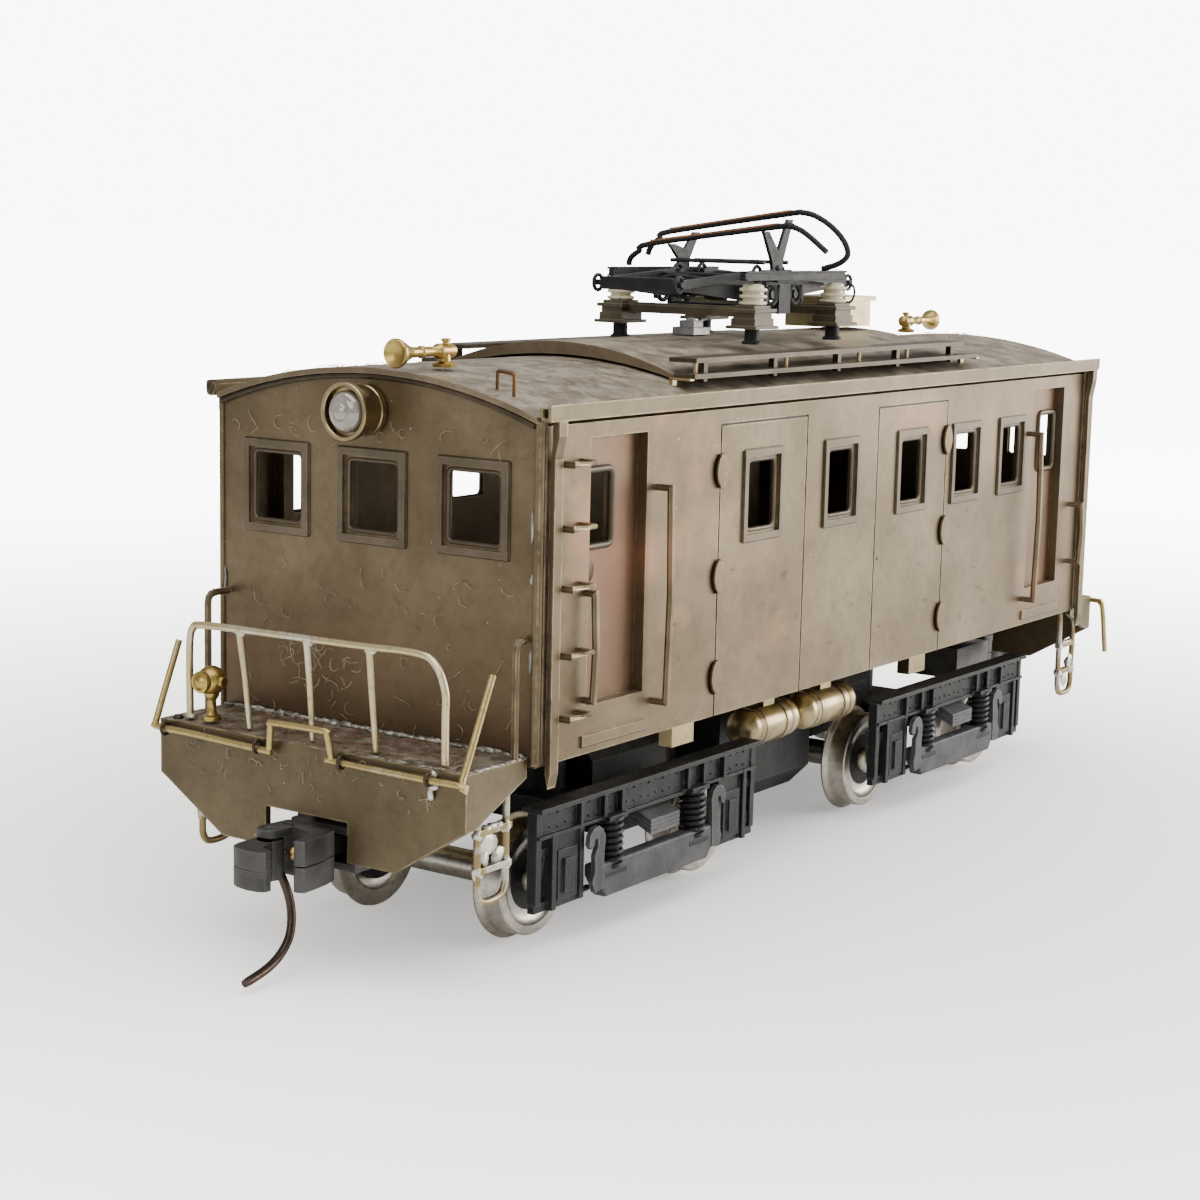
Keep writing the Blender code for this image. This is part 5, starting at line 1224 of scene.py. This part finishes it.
def roof_z(y):
    """Height of the roof sheet's upper face."""
    return ROOF_CROWN - ROOF_RADIUS + math.sqrt(ROOF_RADIUS ** 2 - y * y)


def make_roof_edges(looks):
    """The lip of the roof sheet round each end, a rim round each open gutter end, and a knob on one."""
    lips = Build()
    for x in (-52.78, 52.78):
        lips.tube([(x, y * 0.98, roof_z(y) - 0.72) for y in range(-17, 18)], 0.24, 8)
    lips.done("roof_lips", looks["lip"], smooth=60)
    rims = Build()
    section = ((17.42, 46.65), (17.42, 46.0), (17.55, 45.76), (17.95, 45.74), (18.13, 45.95), (18.13, 46.85))
    for x in (-52.85, 52.85):
        for side in (-1, 1):
            rims.tube(bowed([(x, side * y, z) for y, z in section], 4), 0.16, 8)
    rims.done("gutter_rims", looks["patina"], smooth=60)
    knob = Build()
    knob.turned([(0, 17.3), (0.5, 17.35), (0.62, 17.6), (0.62, 17.9), (0.45, 18.2), (0, 18.25)], "y",
                (-52.6, 0, 46.3), 20)
    knob.done("gutter_knob", looks["lip"], smooth=50)


def make_corner_posts(looks):
    """Rounded beads up the corners of the body, with solder drawn into the seam."""
    beads = Build()
    seams = Build()
    chance = random.Random(5)
    for end in (-1, 1):
        for side in (-1, 1):
            for x, y, radius in ((52.3, 17.0, 0.26), (52.52, 16.8, 0.26), (51.75, 17.02, 0.16)):
                beads.tube([(end * x, side * y, 18.2), (end * x, side * y, 45.5)], radius, 10)
            z = 18.6
            while z < 44.5:
                tall = chance.uniform(0.4, 1.6)
                if chance.random() < 0.3:
                    seams.blob((end * 52.58, side * 16.45, z), (0.12, 0.16, tall), chance, 0.3)
                z += tall + chance.uniform(0.3, 1.2)
    beads.done("corner_beads", looks["patina"], smooth=60)
    seams.done("corner_solder", looks["dullsolder"], smooth=80)


def make_roof_odds(looks):
    """A copper staple at the front, a soldered terminal under the pantograph, and pins in the walkways."""
    staple = Build()
    y = -12.1
    z = roof_z(y)
    bends = ((-0.85, -0.4), (-0.85, 1.3), (-0.75, 1.55), (0.0, 1.65), (0.7, 1.7), (0.8, 1.4), (0.8, 0.1))
    staple.tube(bowed([(-50.6, y + dy, z + dz) for dy, dz in bends], 5), 0.15, 8)
    staple.done("roof_staple", looks["staple"], smooth=60)
    terminal = Build()
    terminal.box(-7.2, -4.3, -1.9, 0.6, 50.35, 51.1)
    terminal.box(-6.6, -4.9, -1.5, 0.2, 51.0, 51.75)
    terminal.turned([(0, 51.6), (0.5, 51.6), (0.5, 51.95), (0, 52.0)], "z", (-5.8, -0.65, 0), 16)
    terminal.tube(bowed([(-4.4, -0.6, 51.3), (-3.2, -0.4, 51.7), (-1.8, -0.9, 51.9), (-0.6, -1.2, 52.4)], 5),
                  0.16, 8)
    terminal.done("roof_terminal", looks["lead"], bevel=0.1)
    pins = Build()
    for side in (-1, 1):
        for x in (-25.6, -10.0, 4.0, 14.0):
            pins.tube([(x, side * 13.9, 48.0), (x, side * 13.9, 49.05)], 0.2, 8)
        for x in (-27.9, 27.9):
            pins.box(x - 0.35, x + 0.35, side * 12.9, side * 15.1, 47.55, 47.75)
            pins.box(x - 0.35, x + 0.35, side * 12.9, side * 13.3, 47.0, 47.7)
    pins.done("walkway_pins", looks["brass"], bevel=0.04)


def make_deck_solder(looks):
    """Uneven beads of solder where each deck meets the face, down one side and on part of its edge."""
    chance = random.Random(21)
    beads = Build()
    for sign, reach in DECKS:
        y = -16.0
        while y < 16.0:
            wide = chance.uniform(0.35, 0.95)
            spot = (sign * (52.95 + chance.uniform(0, 0.12)), y, 18.9)
            beads.blob(spot, (chance.uniform(0.22, 0.42), wide, chance.uniform(0.16, 0.34)), chance, 0.35)
            y += wide * 1.1
        x = 53.6
        while x < reach - 0.4:
            length = chance.uniform(0.4, 0.9)
            beads.blob((sign * x, sign * 16.1, 18.83), (length, 0.3, 0.14), chance, 0.35)
            x += length * 1.2
        y = 6.0
        while y < 15.8:
            wide = chance.uniform(0.4, 1.0)
            if chance.random() < 0.8:
                beads.blob((sign * (reach - 0.3), sign * y, 18.82), (0.24, wide, 0.13), chance, 0.35)
            y += wide * 1.4
    beads.done("deck_solder", looks["dullsolder"], smooth=80)


FIBRE_STEPS = 5
FIBRE_RADIUS = 0.024


def fibre(build, start, spread, lift, length, chance):
    """One curl of lint: a random walk along the two spread directions, lifted off its surface."""
    point = Vector(start)
    heading = chance.uniform(0, 2 * math.pi)
    curl = chance.uniform(-0.9, 0.9)
    path = []
    for step in range(FIBRE_STEPS + 1):
        path.append(point + lift * (0.06 + 0.16 * math.sin(math.pi * step / FIBRE_STEPS) * chance.random()))
        heading += curl + chance.uniform(-0.35, 0.35)
        point = point + (spread[0] * math.cos(heading) + spread[1] * math.sin(heading)) * length / FIBRE_STEPS
    build.tube(path, FIBRE_RADIUS, 3)


def make_lint(looks):
    """Lint caught on the ends, the decks, the headstocks, the roof, the near wall and the front rail."""
    chance = random.Random(33)
    pale = Build()
    rust = Build()
    for sign, reach in DECKS:
        for _ in range(70):
            z = 19.5 + 13.0 * chance.random() ** 1.5 if chance.random() < 0.7 else chance.uniform(42.6, 44.3)
            spot = (sign * 52.53, chance.uniform(-15.2, 15.2), z)
            fibre(pale, spot, (Y, Z), X * sign, chance.uniform(0.6, 2.4), chance)
        for _ in range(300):
            spot = (sign * chance.uniform(53.2, reach - 0.5), chance.uniform(-15.5, 15.5), 18.84)
            colour = rust if chance.random() < 0.75 else pale
            fibre(colour, spot, (X, Y), Z, chance.uniform(0.6, 2.0), chance)
        for _ in range(50):
            spot = (sign * (reach + 0.05), chance.uniform(-13.5, 13.5), chance.uniform(14.8, 18.0))
            fibre(pale, spot, (Y, Z), X * sign, chance.uniform(0.4, 1.2), chance)
        for _ in range(60):
            y = chance.uniform(-12, 12)
            spot = (sign * (52.6 - 25.0 * chance.random() ** 2), y, roof_z(y) + 0.02)
            fibre(pale, spot, (X, Y), Z, chance.uniform(0.5, 1.6), chance)
    for _ in range(60):
        spot = (chance.uniform(-35.0, 35.0), -17.03, chance.uniform(20.0, 32.0))
        fibre(pale, spot, (X, Z), -Y, chance.uniform(0.3, 1.0), chance)
    for _ in range(30):
        spot = (-59.4, chance.uniform(-4.0, 3.5), chance.uniform(23.4, 27.3))
        fibre(pale, spot, (Y, Z), -X, chance.uniform(0.8, 2.4), chance)
    pale.done("lint_pale", looks["lint"], smooth=80)
    rust.done("lint_brown", looks["rust"], smooth=80)


# ---------------------------------------------------------------- panels, windows and hinges

SIDE_WINDOWS = ((-22.1, -15.3), (-7.7, -0.9), (6.8, 13.4), (18.8, 25.6), (29.8, 36.4))
SIDE_WINDOW_Z = (33.1, 41.3)
END_WINDOWS = (-10.5, 0.0, 10.5)
DOOR_WINDOWS = ((-45.1, -41.2), (42.0, 45.9))


def on_side(sign, depth, a, z):
    """A point at a depth from the middle, on a plane along a long wall."""
    return (a, sign * depth, z)


def on_end(sign, depth, a, z):
    """A point at a depth from the middle, on a plane along an end."""
    return (sign * depth, a, z)


def rounded_ring(a0, a1, z0, z1, radius, place, sign, depth):
    """Points round a rectangle with rounded corners, on a side or an end."""
    points = []
    for corner_a, corner_z, start in ((a1, z1, 0), (a0, z1, 90), (a0, z0, 180), (a1, z0, 270)):
        centre_a = corner_a - radius if corner_a == a1 else corner_a + radius
        centre_z = corner_z - radius if corner_z == z1 else corner_z + radius
        for step in range(5):
            angle = math.radians(start + 22.5 * step)
            points.append(place(sign, depth, centre_a + radius * math.cos(angle),
                                centre_z + radius * math.sin(angle)))
    return points


def make_window_sashes(looks):
    """Dark sashes with rounded corners in every window, and a dark line round each frame."""
    sashes = Build()
    lines = Build()
    bottom, top = SIDE_WINDOW_Z

    def ring(build, a0, a1, z0, z1, corner, place, sign, depth, radius, sides=8):
        build.tube(rounded_ring(a0, a1, z0, z1, corner, place, sign, depth), radius, sides, closed=True)

    for sign in (-1, 1):
        for x0, x1 in SIDE_WINDOWS:
            ring(sashes, x0 + 0.95, x1 - 0.95, bottom + 0.95, top - 0.95, 0.7, on_side, sign, 16.72, 0.24)
            ring(lines, x0 - 0.03, x1 + 0.03, bottom - 0.03, top + 0.03, 0.3, on_side, sign, 17.02, 0.09, 6)
        for x0, x1 in DOOR_WINDOWS:
            ring(sashes, x0 - 0.05, x1 + 0.05, 34.85, 41.15, 0.6, on_side, sign, 16.0, 0.32)
    for sign in (-1, 1):
        for y in END_WINDOWS:
            ring(sashes, y - 2.72, y + 2.72, 35.33, 41.27, 0.5, on_end, sign, 52.25, 0.22)
            ring(lines, y - 3.68, y + 3.68, 34.37, 42.23, 0.2, on_end, sign, 52.52, 0.09, 6)
    sashes.done("window_sashes", looks["sash"], smooth=60)
    lines.done("window_lines", looks["lip"], smooth=60)


def make_window_bands(looks):
    """A flat dark band on the front of each raised window frame."""
    bands = Build()
    bottom, top = SIDE_WINDOW_Z

    def band(a0, a1, z0, z1, place, sign, depth):
        wide = 0.6
        for b0, b1, c0, c1 in ((a0, a1, z0, z0 + wide), (a0, a1, z1 - wide, z1),
                               (a0, a0 + wide, z0 + wide, z1 - wide), (a1 - wide, a1, z0 + wide, z1 - wide)):
            inner = Vector(place(sign, depth, b0, c0))
            outer = Vector(place(sign, depth + 0.16, b1, c1))
            bands.box(inner.x, outer.x, inner.y, outer.y, inner.z, outer.z)

    for sign in (-1, 1):
        for x0, x1 in SIDE_WINDOWS:
            band(x0 + 0.02, x1 - 0.02, bottom + 0.02, top - 0.02, on_side, sign, 17.1)
        for y in END_WINDOWS:
            band(y - 3.63, y + 3.63, 34.42, 42.18, on_end, sign, 52.6)
    bands.done("window_bands", looks["band"], bevel=0.02)


def hinge(plates, rims, x, z, side):
    """A D-shaped plate to the left of its seam, with a dark rim."""
    for build, grow, low, high in ((rims, 0.09, 16.98, 17.18), (plates, 0.0, 16.98, 17.40)):
        outline = [(x + 0.12 + grow, z - 1.45 - grow)]
        for step in range(13):
            angle = math.radians(-90 - 15 * step)
            outline.append((x + (1.0 + grow) * math.cos(angle), z + (1.45 + grow) * math.sin(angle)))
        outline.append((x + 0.12 + grow, z + 1.45 + grow))
        build.prism(outline, side * low, side * high, "y")


def make_panel_work(looks):
    """Seams scribed between the panels, and hinges on two of them."""
    seams = Build()
    plates = Build()
    rims = Build()
    for side in (-1, 1):
        inner, outer = side * 16.72, side * 16.9
        for x0, x1 in ((-25.9, -10.9), (2.9, 17.6)):
            for x in (x0, x1):
                seams.box(x - 0.1, x + 0.1, inner, outer, 18.1, 43.9)
            seams.box(x0, x1, inner, outer, 43.7, 43.9)
        for x in (-25.9, 17.6):
            for z in (21.5, 30.5, 39.8):
                hinge(plates, rims, x, z, side)
    seams.done("panel_seams", looks["ink"])
    plates.done("hinge_plates", looks["body"], bevel=0.06)
    rims.done("hinge_rims", looks["ink"])


def make_varnish_drips(looks):
    """Drips of old varnish by the doors and on a panel, and a line of it below each door."""
    drips = Build()
    chance = random.Random(44)
    for side in (-1, 1):
        drips.blob((-44.3, side * 16.02, 32.9), (0.75, 0.12, 0.95), chance, 0.12, 3)
        drips.blob((-44.55, side * 16.0, 33.9), (0.35, 0.12, 0.8), chance, 0.12, 3)
        drips.blob((3.6, side * 17.0, 29.0), (0.22, 0.06, 0.25), chance, 0.12)
        for x in (-46.3, 37.6):
            drips.box(x, x + 9.2, side * 17.02, side * 17.22, 18.62, 18.72)
    drips.done("varnish_drips", looks["lip"], smooth=60)


def make_deck_studs(looks):
    """Small studs at the outer corners of the decks."""
    odds = Build()
    for sign, reach in DECKS:
        for y in (-15.2, 15.2):
            odds.turned([(0, 18.7), (0.45, 18.7), (0.45, 18.95), (0.3, 19.1), (0, 19.15)], "z",
                        (sign * (reach - 0.9), y, 0), 14)
    odds.done("deck_studs", looks["lip"], smooth=40)


# ---------------------------------------------------------------- assembly

def build():
    make_camera()
    make_floor()
    make_lights()
    make_world()
    looks = make_materials()
    dress_frame(looks)
    for end in ENDS:
        for side in SIDES:
            make_side_frame(end, side, looks)
            make_steps(end, side, looks)
        for place in ("outer", "inner"):
            make_wheelset(end, place, looks)
        for make in (make_mount, make_coupler_head, make_knuckle, make_gallery, make_headlamp, make_marker,
                     make_whistle_horn):
            make(end, looks)
    for make in (make_tanks, make_levers, make_arms, make_head, make_pantograph_rails, make_roof_edges,
                 make_corner_posts, make_roof_odds, make_deck_solder, make_lint, make_window_sashes,
                 make_window_bands, make_panel_work, make_varnish_drips, make_deck_studs):
        make(looks)
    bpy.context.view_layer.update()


build()
